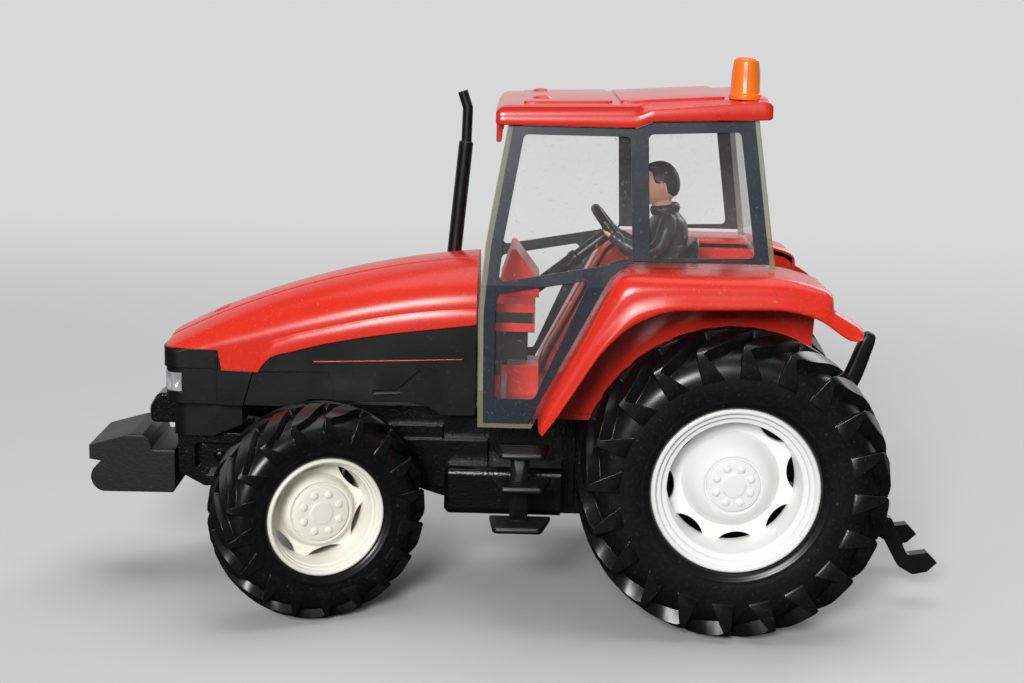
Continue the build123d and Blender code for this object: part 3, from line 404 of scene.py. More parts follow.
redLook, blackLook = rgb(226, 52, 36), rgb(15, 16, 17)
paints = {
    "red": mouldedPlastic("redPlastic", rgb(224, 46, 28), rgb(240, 170, 156), 0.26, 0.03, dust=0.55),
    "roof": mouldedPlastic("roofPlastic", rgb(218, 38, 24), rgb(232, 150, 138), 0.3, 0.03, edge=0.1, dust=0.5,
                           Coat_Weight=0.45, Coat_Roughness=0.14),
    "inside": mouldedPlastic("insidePlastic", rgb(216, 44, 38), rgb(236, 150, 142), 0.42, 0.02),
    "black": mouldedPlastic("blackPlastic", rgb(13, 14, 14), rgb(96, 98, 102), 0.36, 0.02, dust=0.5),
    "casting": mouldedPlastic("blackCasting", rgb(9, 9, 10), rgb(96, 97, 100), 0.24, 0.08, 0.2, 0.08),
    "weight": mouldedPlastic("weightPlastic", rgb(17, 18, 18), rgb(104, 105, 108), 0.5, 0.03, 0.3, 0.04),
    "tyre": mouldedPlastic("tyreRubber", rgb(11, 12, 12), rgb(110, 112, 114), 0.31, 0.03, 0.12, dust=0.6),
    "frames": mouldedPlastic("printedFrames", rgb(43, 51, 59), rgb(150, 156, 162), 0.3, 0.01, 0.06, dust=0.9),
    "white": mouldedPlastic("whiteRims", rgb(246, 248, 244), rgb(214, 215, 204), 0.36, 0.02, 0.12, dust=0.3),
    "ivory": mouldedPlastic("ivoryRims", rgb(246, 243, 232), rgb(212, 206, 190), 0.36, 0.02, 0.12, dust=0.3),
    "steel": mouldedPlastic("steel", rgb(150, 152, 156), rgb(190, 192, 196), 0.3, 0.01, 0.1, Metallic=1.0),
    "orange": mouldedPlastic("orangePlastic", rgb(252, 122, 28), rgb(252, 176, 110), 0.3, 0.02, 0.1,
                             Coat_Weight=0.15),
    "jacket": mouldedPlastic("jacket", rgb(56, 60, 66), rgb(130, 134, 140), 0.36, 0.04, 0.1, 0.03),
    "trousers": mouldedPlastic("trousers", rgb(22, 24, 28), rgb(90, 92, 98), 0.5, 0.04, 0.1, 0.03),
    "skin": mouldedPlastic("paintedSkin", rgb(255, 196, 164), rgb(240, 140, 112), 0.45, 0.02, 0.05, dust=0.4),
    "hair": mouldedPlastic("paintedHair", rgb(30, 32, 37), rgb(92, 96, 104), 0.42, 0.03, 0.03, 0.05),
    "silver": mouldedPlastic("silverPaint", rgb(236, 239, 240), rgb(250, 250, 250), 0.16, 0.01, 0.03,
                             Metallic=0.6),
    "board": toneAndShadeBands("dashPlastic", (blackLook, redLook), rgb(220, 160, 150), (57.4,)),
    # cab floor: red, with black bands by height that are painted shade
    "floor": toneAndShadeBands("floorRedWithPaintedShade", (redLook, blackLook, redLook, blackLook, redLook), rgb(220, 160, 150),
                     (43.9, 52.3, 53.9, 55.9)),
}


glassLook = dict(
    # clear border outside the frames: its lines at the front and at the rear as x = start - slope (z - from),
    # and how far out it starts, by the height from which the walls lean in
    front=(7.2, 0.140, 57.1), rear=(-45.4, -0.145, 65.9), border=1.15, level=7.05, walls=(22.2, 0.08, 62.0),
    foot=36.95,
)


def glazing():
    # clear moulded plastic: faint grey-green, khaki in its thick borders and where seen edge-on, scratched.
    # alpha = the larger of 0.03 + 0.6 facing^4 + streaks and 0.8 border
    look = glassLook
    finish = Finish("clearPlastic", Roughness=0.06, IOR=1.46)
    facing = finish.node("LayerWeight", None, {"Blend": 0.35}, "Facing")
    edgeOn = facing ** 4
    x, y, z = (finish.node("SeparateXYZ", None, {"Vector": finish.place}, axis) / mm for axis in "XYZ")
    start, slope, at = look["front"]
    ahead = x - (start - (z - at) * slope).least(look["level"]) + look["border"]
    start, slope, at = look["rear"]
    behind = (start - (z - at) * slope) - x + look["border"]
    start, slope, at = look["walls"]
    outwards = y.size() - (start - (z - at).most(0.0) * slope)
    border = ahead.most(behind).most(look["foot"] - z).rise(0.0, 0.12) * outwards.rise(0.0, 0.3)
    lines = finish.streaks(2.4, 0.02, (0.9, 0.2, 0.4)) + finish.specks(2.4, 0.06, 1.0) * 0.6
    alpha = (0.03 + edgeOn * 0.6 + lines * 0.16).most(border * 0.8)
    colour = finish.blend(edgeOn.rise(0.1, 0.7), rgb(228, 230, 226), rgb(160, 158, 126))
    colour = finish.blend(border, colour, rgb(132, 130, 100))
    finish.feed(Alpha=alpha.least(1.0), Base_Color=colour, Roughness=0.06 + border * 0.3)
    finish.relief(finish.noise(14.0, 1.0), 0.03)
    return finish.material


paints["clear"] = glazing()

# CAD nodes that are shown as they are, and their finishes
carried = {
    "side_panels": "black", "nose_housing": "black", "front_weights": "weight", "chassis": "casting",
    "front_axle": "casting", "rear_axle": "steel", "cab_glazing": "clear", "cab_frames": "frames",
    "cab_floor": "floor", "dashboard": "board", "lower_links": "black", "tie_rod": "black",
    "steering_knuckle_left": "black", "steering_knuckle_right": "black", "exhaust": "black",
}
for node, paint in carried.items():
    mesh = nodes[node].data
    mesh.materials.clear()
    mesh.materials.append(paints[paint])
print("finishes on the CAD nodes")


# wheels: points by distance along the axle, distance from it, and angle from the top to the front
class Wheel:
    def __init__(self, joint, side):
        self.origin = np.array(joints[joint]["pos_m"]) / mm - lift
        self.out = side * unit(joints[joint]["axis"])
        self.side = side
        self.up = np.array((0.0, 0.0, 1.0))
        forward = np.cross(self.out, self.up)
        self.forward = forward * np.sign(forward[0])

    def at(self, along, radius, angle):
        along, radius, angle = np.broadcast_arrays(along, radius, angle)
        spoke = np.cos(angle)[..., None] * self.up + np.sin(angle)[..., None] * self.forward
        return self.origin + along[..., None] * self.out + radius[..., None] * spoke

    def span(self, node):
        # least and most distance along the axle, and the most from it
        points = pointsOf(node) - self.origin
        along = points @ self.out
        return along.min(), along.max(), np.linalg.norm(points - along[:, None] * self.out, axis=1).max()

    def turned(self, profile, around):
        # profile of (along, radius) carried round the axle
        return self.at(profile[None, :, 0], profile[None, :, 1], turns(around)[:, None])


wheels = {
    # body: wheel, CAD names' ending, kind
    "rear_left_wheel": (Wheel("rear_left_roll", 1), "left", "rear"),
    "rear_right_wheel": (Wheel("rear_right_roll", -1), "right", "rear"),
    "front_left_wheel": (Wheel("front_left_roll", 1), "left", "front"),
    "front_right_wheel": (Wheel("front_right_roll", -1), "right", "front"),
}
tyreLook = {
    "rear": dict(lugs=20, first=0.4, scale=1.0, around=180, corner=0.0),
    "front": dict(lugs=18, first=1.7, scale=0.80, around=144, corner=0.066),
}
lugHeight = 1.9  # in the middle of the tread, as all lug sizes at scale 1
# a lug from the tread's middle to its end on the wall: share of the half width, drop of its top below the
# tread, angles of its leading and trailing edges, then share and drop of its root
lugTable = np.array((
    (-0.05, 0.00, -15.6, -24.8, -0.05, 2.4),
    (0.16, 0.04, -12.6, -21.8, 0.16, 2.5),
    (0.36, 0.16, -9.6, -18.9, 0.36, 2.7),
    (0.54, 0.36, -6.8, -16.2, 0.53, 3.1),
    (0.70, 0.66, -4.2, -13.9, 0.66, 3.5),
    (0.84, 1.02, -2.0, -11.6, 0.71, 3.9),
    (0.93, 1.34, -0.7, -8.6, 0.75, 4.3),
    (0.98, 1.66, -0.1, -5.0, 0.78, 4.7),
    (1.00, 2.15, 0.0, -3.0, 0.79, 5.0),
    (1.00, 3.50, 0.3, -4.7, 0.83, 5.7),
    (1.00, 5.20, 0.6, -7.0, 0.88, 6.7),
    (1.00, 7.10, 0.9, -9.6, 0.92, 7.8),
    (0.985, 7.40, 0.95, -9.9, 0.92, 7.9),
))


def carcass(rim, tread, half, scale):
    # Section of a bald tyre as (along, radius) round its middle.
    # outer quarter: along = 0.985 half |cos t|^0.83, radius = waist + (tread - waist) |sin t|^0.83;
    # lower wall: along = (0.80 + 0.185 |cos t|^0.8) half, radius = waist - (waist - rim) |sin t|^0.8,
    # with a low ridge round the rim
    waist = rim + 0.42 * (tread + lugHeight * scale - rim)
    t = quarter(17)
    upper = np.stack([0.985 * half * np.cos(t) ** 0.83, waist + (tread - waist) * np.sin(t) ** 0.83], -1)
    t = quarter(22)[1:]
    lower = np.stack([(0.80 + 0.185 * np.cos(t) ** 0.8) * half, waist - (waist - rim) * np.sin(t) ** 0.8], -1)
    lower[:, 0] += 0.12 * np.exp(-(((lower[:, 1] - rim - 1.3) / 0.22) ** 2))
    wall = np.concatenate([lower[::-1], upper])
    other = wall[::-1][1:] * (-1, 1)
    return np.concatenate([wall, other])


def makeTyre(body, wheel, ending, kind):
    look = tyreLook[kind]
    node = f"{kind}_tyre_{ending}"
    low, high, reach = wheel.span(node)
    middle, half = (low + high) / 2, (high - low) / 2
    rim = wheel.span(f"{kind}_rim_{ending}")[2]
    scale = look["scale"]
    section = carcass(rim + 0.02, reach - lugHeight * scale, half, scale) + (middle, 0)
    tyre = Shape()
    tyre.loop(wheel.turned(section, look["around"]))
    pitch = 360 / look["lugs"]
    share, drop, lead, trail, rootShare, rootDrop = lugTable.T
    share = share - look["corner"] * np.exp(-(((drop - 1.7) / 1.6) ** 2))
    spread = pitch / 18
    top = np.stack([share * half, reach - drop * scale], -1)
    root = np.stack([rootShare * half, reach - rootDrop * scale], -1)
    eased = top + (root - top) / np.linalg.norm(root - top, axis=1, keepdims=True) * 0.14
    draft, ease = 0.9, 0.3
    # six corners of a lug's section: root, eased edge, top, top, eased edge, root
    section = np.stack([root, eased, top, top, eased, root], 1)
    edges = np.stack([lead + draft, lead, lead - ease, trail + ease, trail, trail - draft], 1) * spread
    for row in (1, -1):
        shift = look["first"] + (0 if row == 1 else pitch / 2)
        for lug in range(look["lugs"]):
            angle = np.radians(shift + lug * pitch + edges)
            tyre.tube(wheel.at(middle + row * section[..., 0], section[..., 1], angle))
    tyre.make(f"{kind}Tyre{ending.title()}", "tyre", [node], "tyre", 30, body)


rimLook = {
    # distances of the disc, cap, steps, dome and holes as the CAD rims have them
    "rear": dict(recess=4.2, cap=5.0, lip=1.0, step=2.0, barrel=3.4, foot=8.9, dish=4.7, holes=8, biteR=5.2,
                 biteAt=15.4, turned=6.7, bolts=8, boltAt=3.3, boltR=0.72, bore=2.05, bossIn=22.0,
                 paint="white", slot="white_rim"),
    "front": dict(recess=3.6, cap=5.4, lip=0.9, step=1.4, barrel=2.1, foot=6.9, dish=2.4, holes=6, biteR=8.4,
                  biteAt=15.9, turned=41.0, bolts=8, boltAt=3.6, boltR=0.75, bore=1.65, bossIn=5.6,
                  paint="ivory", slot="ivory_rim"),
}


def discHeight(radius, look):
    # Height of the disc's face over its cap's seat, by distance from the axle.
    # centre boss, plateau, groove of a quarter millimetre round the cap, then a dome that falls by
    # dish u^1.85 with u from 0 at the cap to 1 at the dome's foot
    cap, foot = look["cap"], look["foot"]
    known = np.array((
        (0, 0.66), (1.95, 0.60), (2.15, 0.46), (2.35, 0.40), (cap - 0.5, 0.36), (cap - 0.22, 0.22),
        (cap - 0.10, -0.40), (cap + 0.06, -0.40), (cap + 0.16, -0.10), (cap + 0.4, 0.0),
    ))
    u = np.clip((radius - cap - 0.3) / (foot - cap - 0.3), 0, 1)
    return np.where(radius < cap + 0.4, np.interp(radius, *known.T), -look["dish"] * u**1.85)


def makeRim(body, wheel, ending, kind):
    look = rimLook[kind]
    node = f"{kind}_rim_{ending}"
    inner, outer, reach = wheel.span(node)
    disc = outer - look["recess"]
    ring = disc - look["dish"]
    lip, step, barrel = (reach + 0.05 - look[key] for key in ("lip", "step", "barrel"))
    rim = Shape()
    # flange, two steps and barrel, turned as one closed ring
    corners = (
        (inner, reach), (outer - 0.35, reach), (outer, reach - 0.25), (outer, lip + 0.25), (outer - 0.3, lip),
        (outer - 1.0, lip - 0.08), (outer - 1.05, step + 0.1), (outer - 2.0, step),
        (outer - 2.05, barrel + 0.4), (ring - 0.1, barrel), (ring - 1.25, barrel), (ring - 1.3, reach - 1.45),
        (inner, reach - 1.45),
    )
    rim.loop(wheel.turned(roundedPath(corners, 0.16, 4), 144))
    # disc: circles out to the dome's foot, then rows that follow the edge bitten by round holes
    biteR, biteAt, cap, foot = (look[key] for key in ("biteR", "biteAt", "cap", "foot"))
    tip = math.acos((biteAt**2 + barrel**2 - biteR**2) / (2 * biteAt * barrel))
    pitch = 2 * math.pi / look["holes"]
    local = np.concatenate([np.linspace(-tip, tip, 13)[:-1], np.linspace(tip, pitch - tip, 9)[:-1]])
    hole = np.arange(look["holes"])[:, None] * pitch
    angle = wheel.side * (math.radians(look["turned"] + 90) + (hole + local[None]).reshape(-1))
    bite = biteAt * np.cos(local) - np.sqrt(np.maximum(biteR**2 - (biteAt * np.sin(local)) ** 2, 0))
    edge = np.where(np.abs(local) < tip - 1e-6, np.minimum(bite, barrel), barrel)
    edge = np.tile(np.where(edge > barrel - 1e-6, edge + 0.12, edge), look["holes"])
    circles = np.concatenate([
        (0.02, 1.0, 1.95, 2.15, 2.35, 3.3, cap - 0.5, cap - 0.3, cap - 0.22, cap - 0.1),
        (cap + 0.06, cap + 0.16),
        np.linspace(cap + 0.4, foot, 14),
    ])
    share = np.array((0.06, 0.3, 0.6, 0.9, 1.0))[:, None]
    flat = np.repeat(np.stack([circles, discHeight(circles, look)], -1)[:, None], len(angle), 1)
    rows = np.concatenate([flat[..., 0], foot + share * (edge - foot)[None]])
    height = disc + np.concatenate([flat[..., 1], -look["dish"] - 0.1 * share + 0 * edge[None]])
    height[-1] -= 0.12
    front, back = (wheel.at(height - thick, rows, angle[None]) for thick in (0, 1.25))
    rim.tube(np.concatenate([front, back[::-1]]))
    # boss round the axle
    bore, end = look["bore"], disc - 1.5
    boss = ((look["bossIn"], bore), (look["bossIn"], bore + 2), (end, bore + 2), (end, bore))
    rim.loop(wheel.turned(roundedPath(boss, 0.15, 3), 64))
    # bolt heads: low domes, height = boltR * 0.62 cos t over radius boltR sin t, each on a short foot
    t = np.append(np.linspace(0.03, math.pi / 2, 7), math.pi / 2)[:, None]
    high = 0.36 + look["boltR"] * 0.62 * np.cos(t)
    high[-1] = 0.1
    turn = turns(20)[None]
    for bolt in range(look["bolts"]):
        where = 2 * math.pi * (bolt + 0.5) / look["bolts"]
        x = look["boltAt"] * math.cos(where) + look["boltR"] * np.sin(t) * np.cos(turn)
        y = look["boltAt"] * math.sin(where) + look["boltR"] * np.sin(t) * np.sin(turn)
        rim.tube(wheel.at(disc + high, np.hypot(x, y), np.arctan2(y, x)))
    rim.make(f"{kind}Rim{ending.title()}", look["paint"], [node], look["slot"], 32, body)


for body, (wheel, ending, kind) in wheels.items():
    makeTyre(body, wheel, ending, kind)
    makeRim(body, wheel, ending, kind)
print("tyres and rims")


bonnetLook = dict(
    # share of the length, edge of the flat top, its half width, half width, drop of the shoulder
    sections=((0.0, 63.4, 4.6, 14.0, 8.4), (0.448, 59.0, 4.5, 13.6, 7.8), (0.740, 53.6, 4.4, 12.8, 6.6),
              (0.903, 49.5, 4.2, 12.2, 4.4), (1.0, 46.6, 4.0, 11.7, 2.2)),
    # lower edge against the black panels, then the crease above the proud band
    edge=((0.0, 52.2), (0.1, 51.45), (0.245, 50.35), (0.36, 49.25), (0.48, 47.8), (0.595, 45.95),
          (0.625, 45.5), (0.65, 44.95), (0.668, 44.1), (0.684, 42.9), (0.694, 41.9), (0.812, 42.0),
          (0.824, 45.8), (1.1, 45.9)),
    crease=((-0.02, 55.3), (0.211, 54.3), (0.416, 52.3), (0.553, 49.9), (0.650, 47.7), (0.681, 45.8),
            (0.708, 42.9), (0.712, 40.0), (1.1, 40.0)),
    proud=0.45, noseR=3.5, edgeR=0.6,
    # small raised pad near the nose
    pad=((55.6, -1.7), (58.6, -1.6), (58.6, 1.6), (55.6, 1.7)),
)


def makeBonnet():
    # sections across the length. Shoulder: y = flat + (half - flat) (1 - u^2.2)^0.64,
    # z = edge - drop + u drop, u from 0 to 1; crown: z = edge + 0.12 + 0.3 (1 - (y / flat)^2);
    # section values are the quartic through the five given ones
    look = bonnetLook
    table = np.array(look["sections"]).T
    low, high = boxOf("bonnet")
    rear, nose = low[0], high[0]
    length, noseR, edgeR = nose - rear, look["noseR"], look["edgeR"]
    marks = [share for share, z in look["edge"][:-1]] + [0.6892, 0.8055, 0.818]
    rounding = 1 - noseR / length * (1 - np.sin(quarter(14)))
    tip = 1 - edgeR / length * np.array((1, 0.6, 0.3, 0.1))
    share = np.unique(np.concatenate([np.linspace(0, 0.94, 80), marks, rounding, tip]).round(5))
    edge, flat, half, drop = (np.polyval(np.polyfit(table[0], row, 4), share) for row in table[1:])
    x = rear + share * length
    # fall of a quarter circle of radius r that ends at the nose
    pull, ease = (r - np.sqrt(r**2 - np.clip(x - (nose - r), 0, r) ** 2) for r in (noseR, edgeR))
    low = np.interp(share, *np.array(look["edge"]).T)
    crease = np.minimum(np.interp(share, *np.array(look["crease"]).T), edge - drop)
    edge = edge - ease * 0.8
    edge, flat, half, drop, low, crease = (value[:, None] for value in (edge, flat, half, drop, low, crease))
    u = np.concatenate([np.linspace(0, 0.9, 13), (0.94, 0.97, 0.985, 1.0)])[None]
    shoulderY = flat + (half - flat) * (1 - u**2.2) ** 0.64
    shoulderZ = edge - drop + drop * u
    crownY = flat * np.array((0.985, 0.96, 0.85, 0.6, 0.3, 0.0))[None]
    crownZ = edge + 0.12 + 0.3 * (1 - (crownY / flat) ** 2)
    # band below the crease: y = half + proud (1 - v^3), v from its lower edge to the crease
    v = np.array((0, 0.2, 0.4, 0.6, 0.75, 0.87, 0.95, 1.0))[None]
    band = np.clip((crease - low) / 1.2, 0, 1)
    sideZ = low + np.maximum(crease - low, 0) * v
    sideY = half + look["proud"] * band * (1 - v**3)
    y = np.concatenate([sideY, shoulderY, crownY], 1)
    z = np.maximum(np.concatenate([sideZ, shoulderZ, crownZ], 1), low)
    y = np.maximum(np.minimum(y, half + look["proud"] - pull[:, None]), 0)
    bonnet = Shape()
    bonnet.tube(mirroredRings(x, y, z))
    path = roundedPath(look["pad"], 0.5, 4)
    ground = np.interp(path[:, 0], x, edge[:, 0]) + 0.28
    rings = [np.column_stack([path, ground + up]) for up in (-0.6, 0.18)]
    middle = rings[1].mean(0)
    rings.append((rings[1] - middle) * 0.86 + middle + (0, 0, 0.14))
    bonnet.tube(np.stack(rings))
    bonnet.make("bonnetShell", "red", ["bonnet"], "red_plastic", 34)


fenderLook = dict(
    # side view from the datum: outline of the crown from its front tip to its rear tip, then the edge over
    # the tyre in the same direction
    outline=((-4.0, 36.4), (-3.8, 37.4), (-5.2, 41.4), (-10.9, 52.2), (-17.4, 64.8), (-46.6, 64.8),
             (-53.2, 63.1), (-54.5, 62.3), (-54.9, 61.5), (-55.0, 59.5), (-55.8, 59.0), (-59.9, 56.7),
             (-60.5, 55.7), (-60.3, 55.0)),
    edge=((-4.7, 36.0), (-6.6, 38.4), (-10.4, 44.4), (-14.6, 51.2), (-19.6, 56.3), (-26.0, 59.0),
          (-38.3, 59.3), (-46.4, 59.5), (-52.2, 58.2), (-57.2, 54.6), (-58.9, 54.3), (-59.9, 54.7)),
    wall=1.3, boxEnd=115.9, lipWidth=3.4, crown=3.6,
    # face of the section: share of its height from the outline, distance in from the outer side
    face=((1.0, 0.35), (0.96, 0.08), (0.90, 0.0), (0.82, 0.08), (0.72, 0.32), (0.60, 0.55), (0.50, 0.68)),
)


def makeFender(side, ending):
    # crown: face, quarter ellipse and top as a section that is carried round by the angle at the hub;
    # inner wall: the area between the outline and the level of the front tip
    look = fenderLook
    low, high = boxOf(f"fender_{ending}")
    outer, inner = (high[1], low[1]) if side > 0 else (low[1], high[1])
    width = abs(outer - inner)
    polar = []
    for corners in (look["outline"], look["edge"]):
        path = along(roundedPath(corners, 2.6, 8, False), 500) - (hubX, hubZ)
        angle = np.arctan2(path[:, 1], path[:, 0])
        polar.append((np.maximum.accumulate(angle), np.hypot(*path.T)))
    finer = ((0, 1, 90), (0, 0.04, 6), (0.87, 1, 40))
    share = np.unique(np.concatenate([np.linspace(*row) for row in finer]))
    top, foot = (line[0][0] + share * (line[0][-1] - line[0][0]) for line in polar)
    outline, edge = (np.interp(at, *line) for at, line in zip((top, foot), polar))
    wall, faceEnd = look["wall"], look["face"][-1][1]
    reach = np.where(np.degrees(top) < look["boxEnd"], width, look["lipWidth"])[:, None]
    depth = (outline - edge)[:, None]
    under = np.minimum(wall / np.maximum(depth, 1.6), 0.8)
    crown = look["crown"] - faceEnd
    # section as (share of the depth down from the outline, distance in from the outer side)
    t = quarter(10)[1:]
    curved = np.stack([0.5 * (1 - np.sin(t)), faceEnd + crown * (1 - np.cos(t))], -1)
    outside = [(down, np.minimum(inward, reach - 0.3)) for down, inward in (*look["face"], *curved)]
    inside = [(0, 0.5 * (reach + crown)), (0, reach - 0.2), (0.1 * under, reach), (under, reach),
              (under, 0.5 * (reach + crown)), (under, np.minimum(crown + 0.6, reach - 0.1)),
              (under + (1 - under) * 0.3, 1.9), (under + (1 - under) * 0.7, 1.5), (1.0, 1.35)]
    parts = zip(*outside, *inside)
    down, inward = (np.concatenate([value + 0 * reach for value in part], 1) for part in parts)
    turn = top[:, None] + (foot - top)[:, None] * down
    distance = outline[:, None] - depth * down
    fender = Shape()
    fender.tube(np.stack([hubX + distance * np.cos(turn), outer - side * inward,
                          hubZ + distance * np.sin(turn)], -1))
    # inner wall: four edges carried along the outline, half a millimetre inside it
    kept = np.degrees(top) < look["boxEnd"] - 2
    topX, topZ = (at + (outline - 0.5)[kept] * way(top[kept]) for at, way in ((hubX, np.cos), (hubZ, np.sin)))
    tipX, level = look["outline"][0]
    lowX = np.interp(share[kept], (0, share[kept][-1]), (tipX - 0.5, hubX - 14.0))
    rings = [np.stack([x, inner + side * across + 0 * x, z], -1) for x, z, across in (
        (topX, topZ, 0), (lowX, level + 0 * lowX, 0), (lowX, level + 0 * lowX, wall), (topX, topZ, wall))]
    fender.tube(np.stack(rings, 1))
    fender.make(f"fender{ending.title()}", "red", [f"fender_{ending}"], "red_plastic")


makeBonnet()
makeFender(1, "left")
makeFender(-1, "right")
print("bonnet and fenders")


roofLook = dict(
    base=89.6, half=22.6,
    # place along, then heights above the base: underside, crease, shoulder, crown; half width at the shoulder
    sections=((4.9, 0.3, 1.2, 2.2, 2.5, 22.0), (4.4, 0.05, 1.25, 2.9, 3.2, 22.1),
              (3.4, 0.0, 1.4, 3.4, 3.75, 22.15),
              (-19.6, 0.0, 2.0, 4.0, 4.5, 22.1), (-20.2, 0.15, 2.1, 4.0, 4.55, 21.9),
              (-22.4, 1.05, 3.0, 4.25, 4.85, 19.75), (-23.0, 1.2, 3.15, 4.3, 4.9, 19.65),
              (-42.2, 1.9, 4.9, 5.55, 5.95, 19.8), (-43.2, 1.95, 4.7, 5.35, 5.75, 19.8),
              (-43.65, 2.2, 4.2, 4.9, 5.2, 19.8)),
    # raised panels: ends, half width and height
    panels=((0.1, -15.7, 17.8, 0.42), (-17.1, -35.65, 17.8, 0.42)),
    # round domes: place, radius and height; tabs over the windscreen: place and lower end
    domes=((-3.2, 11.0, 1.8, 0.7), (-3.2, -11.0, 1.8, 0.7)), tabs=(4.0, 14.0, 86.0),
)


def makeRoof():
    # section: crown z = crown - (crown - shoulder) (y / shoulder half)^2, a shoulder curve, the side to the
    # crease, a lip below it and the underside; heights and widths run straight between the given sections
    look = roofLook
    table = np.array(look["sections"]).T
    x = -np.unique(np.concatenate([-table[0], np.linspace(-4.9, 43.65, 60)]))

    def at(x, row):
        return np.interp(-x, -table[0], table[row])

    under, crease, shoulder, crown, half = (at(x, row)[:, None] for row in range(1, 6))
    frontFall, rearFall = (np.clip(value, 0, 1)[:, None] for value in (x - 3.9, -43.0 - x))
    wide = look["half"] - frontFall**2 * 0.5 - rearFall * 0.6
    share = np.array((0.0, 0.25, 0.5, 0.72, 0.88, 0.96))[None]
    side = ((half - 0.05, shoulder + 0.02), (half + 0.35, shoulder - 0.2),
            (half + (wide - half) * 0.55, (shoulder + crease) / 2 + 0.12), (wide - 0.12, crease + 0.18),
            (wide, crease), (wide, under + 0.4), (wide - 0.06, under + 0.12), (wide - 0.3, under),
            (wide - 1.2, under), (wide - 1.5, under + 0.7), (0 * half, under + 0.7))
    sideY, sideZ = (np.concatenate(part, 1) for part in zip(*side))
    y = np.concatenate([half * share, sideY], 1)
    z = np.concatenate([crown - (crown - shoulder) * share**2, sideZ], 1) + look["base"]
    roof = Shape()
    roof.tube(mirroredRings(x, y, z, -1))
    for front, rear, width, height in look["panels"]:
        outline = roundedPath(((front, -width), (front, width), (rear, width), (rear, -width)), 1.0, 4)
        outline = np.concatenate([along(outline[k:k + 2], 8)[:-1] for k in range(len(outline) - 1)])
        middle = outline.mean(0)
        rings = []
        for grow, up in ((1.0, -0.5), (1.0, height - 0.12), (0.994, height - 0.02), (0.985, height),
                         (0.6, height), (0.2, height)):
            path = middle + (outline - middle) * grow
            crown, shoulder = at(path[:, 0], 4), at(path[:, 0], 3)
            level = crown - (crown - shoulder) * (path[:, 1] / 21) ** 2
            rings.append(np.column_stack([path, level + look["base"] + up]))
        roof.tube(np.stack(rings))
    t = np.linspace(math.pi / 2, 0.05, 9)
    for atX, atY, r, h in look["domes"]:
        profile = np.concatenate([((r, -0.8),), np.stack([r * np.sin(t), h * np.cos(t)], -1)])
        roof.tube(lathe(profile, (atX, atY, look["base"] + 4.1)))
    tabX, tabY, tabZ = look["tabs"]
    for sign in (1, -1):
        corners = ((tabX + 0.85, 90.4), (tabX + 0.85, tabZ), (tabX - 0.1, tabZ), (tabX - 0.45, 90.4))
        roof.slab(corners, 0.4, 4, sign * tabY - 1.6, sign * tabY + 1.6)
    roof.make("roofShell", "roof", ["cab_roof"], "roof_red", 36)


beaconLook = dict(
    # foot as (distance out from the lens, height), radius of the rounded top, how far the lens tapers,
    # and its faint upright ribs
    foot=((0.2, -0.5), (0.25, 0.15), (0.2, 0.4), (0.08, 0.5), (0.02, 0.7)),
    topR=1.0, taper=0.35, ribs=24, ribDepth=0.004,
)


def makeBeacon():
    # turned profile of (radius, height): a low foot, then a lens that tapers to a rounded top;
    # radius is multiplied by 1 + ribDepth cos(ribs a)
    look = beaconLook
    low, high = boxOf("beacon")
    centre = np.array(((low[0] + high[0]) / 2, (low[1] + high[1]) / 2, low[2]))
    foot, tall, topR = (high[0] - low[0]) / 2, high[2] - low[2], look["topR"]
    t = quarter(8)
    rounding = np.stack([foot - look["taper"] - topR + topR * np.cos(t), tall - topR + topR * np.sin(t)], -1)
    lower = np.array(look["foot"]) + (foot, 0)
    profile = np.concatenate([lower, ((foot - 0.1, tall * 0.6),), rounding, ((0.4, tall - 0.02),)])
    rings = lathe(profile, (0, 0, 0), sides=96)
    rings[..., :2] *= 1 + look["ribDepth"] * np.cos(look["ribs"] * turns(96))[None, :, None]
    beacon = Shape()
    beacon.tube(rings + centre)
    beacon.make("beaconLens", "orange", ["beacon"], "orange_plastic")


stepLook = dict(
    # each plate: height of its top, then x of its front and rear ends at the outer and at the inner edge
    plates=((18.4, 3.4, -4.7, 4.5, -6.8), (25.9, 2.3, -4.9, 4.3, -6.7), (32.1, 2.5, -4.9, 4.3, -6.2)),
    innerY=22.8, outerY=31.4, thick=0.8, lip=0.15, postX=(0.8, -2.5), postY=(24.4, 26.2), postZ=(17.6, 31.9),
)


def makeSteps(side, ending):
    # plates drawn in towards the outside, each with a raised lip and fine ribs, on one post
    look = stepLook
    inY, outY = look["innerY"], look["outerY"]
    steps = Shape()
    for top, outFront, outRear, inFront, inRear in look["plates"]:
        corners = ((inFront, inY), (outFront + 0.4, outY - 0.9), (outFront, outY), (outRear, outY),
                   (outRear - 0.5, outY - 0.9), (inRear, inY))
        steps.slab(np.array(corners) * (1, side), 0.5, 4, top - look["thick"], top, ease=0.12, across=2)
        # rounded bars across the plate: share of the way out, ends, radius, height, points along and round
        lip = top + look["lip"] * 0.5
        bars = [(1 - 0.3 / (outY - inY), outRear + 0.2, outFront - 0.2, 0.24, lip, 24, 12)]
        for share in np.linspace(0.2, 0.8, 5):
            front = inFront + (outFront - inFront) * share
            rear = inRear + (outRear - inRear) * share
            bars.append((share, front - 0.9, rear + 0.9, 0.12, top, 16, 8))
        for share, start, end, radius, height, count, sides in bars:
            y = side * (inY + (outY - inY) * share)
            steps.tube(pipe(np.linspace((start, y, height), (end, y, height), count), radius, sides))
    near, far = sorted(side * np.array(look["postY"]))
    front, rear = look["postX"]
    foot, top = look["postZ"]
    steps.slab(((front, foot), (front, top), (rear, top), (rear, foot)), 0.3, 3, near, far, ease=0.2)
    steps.make(f"steps{ending.title()}", "black", [f"steps_{ending}"], "black_plastic")


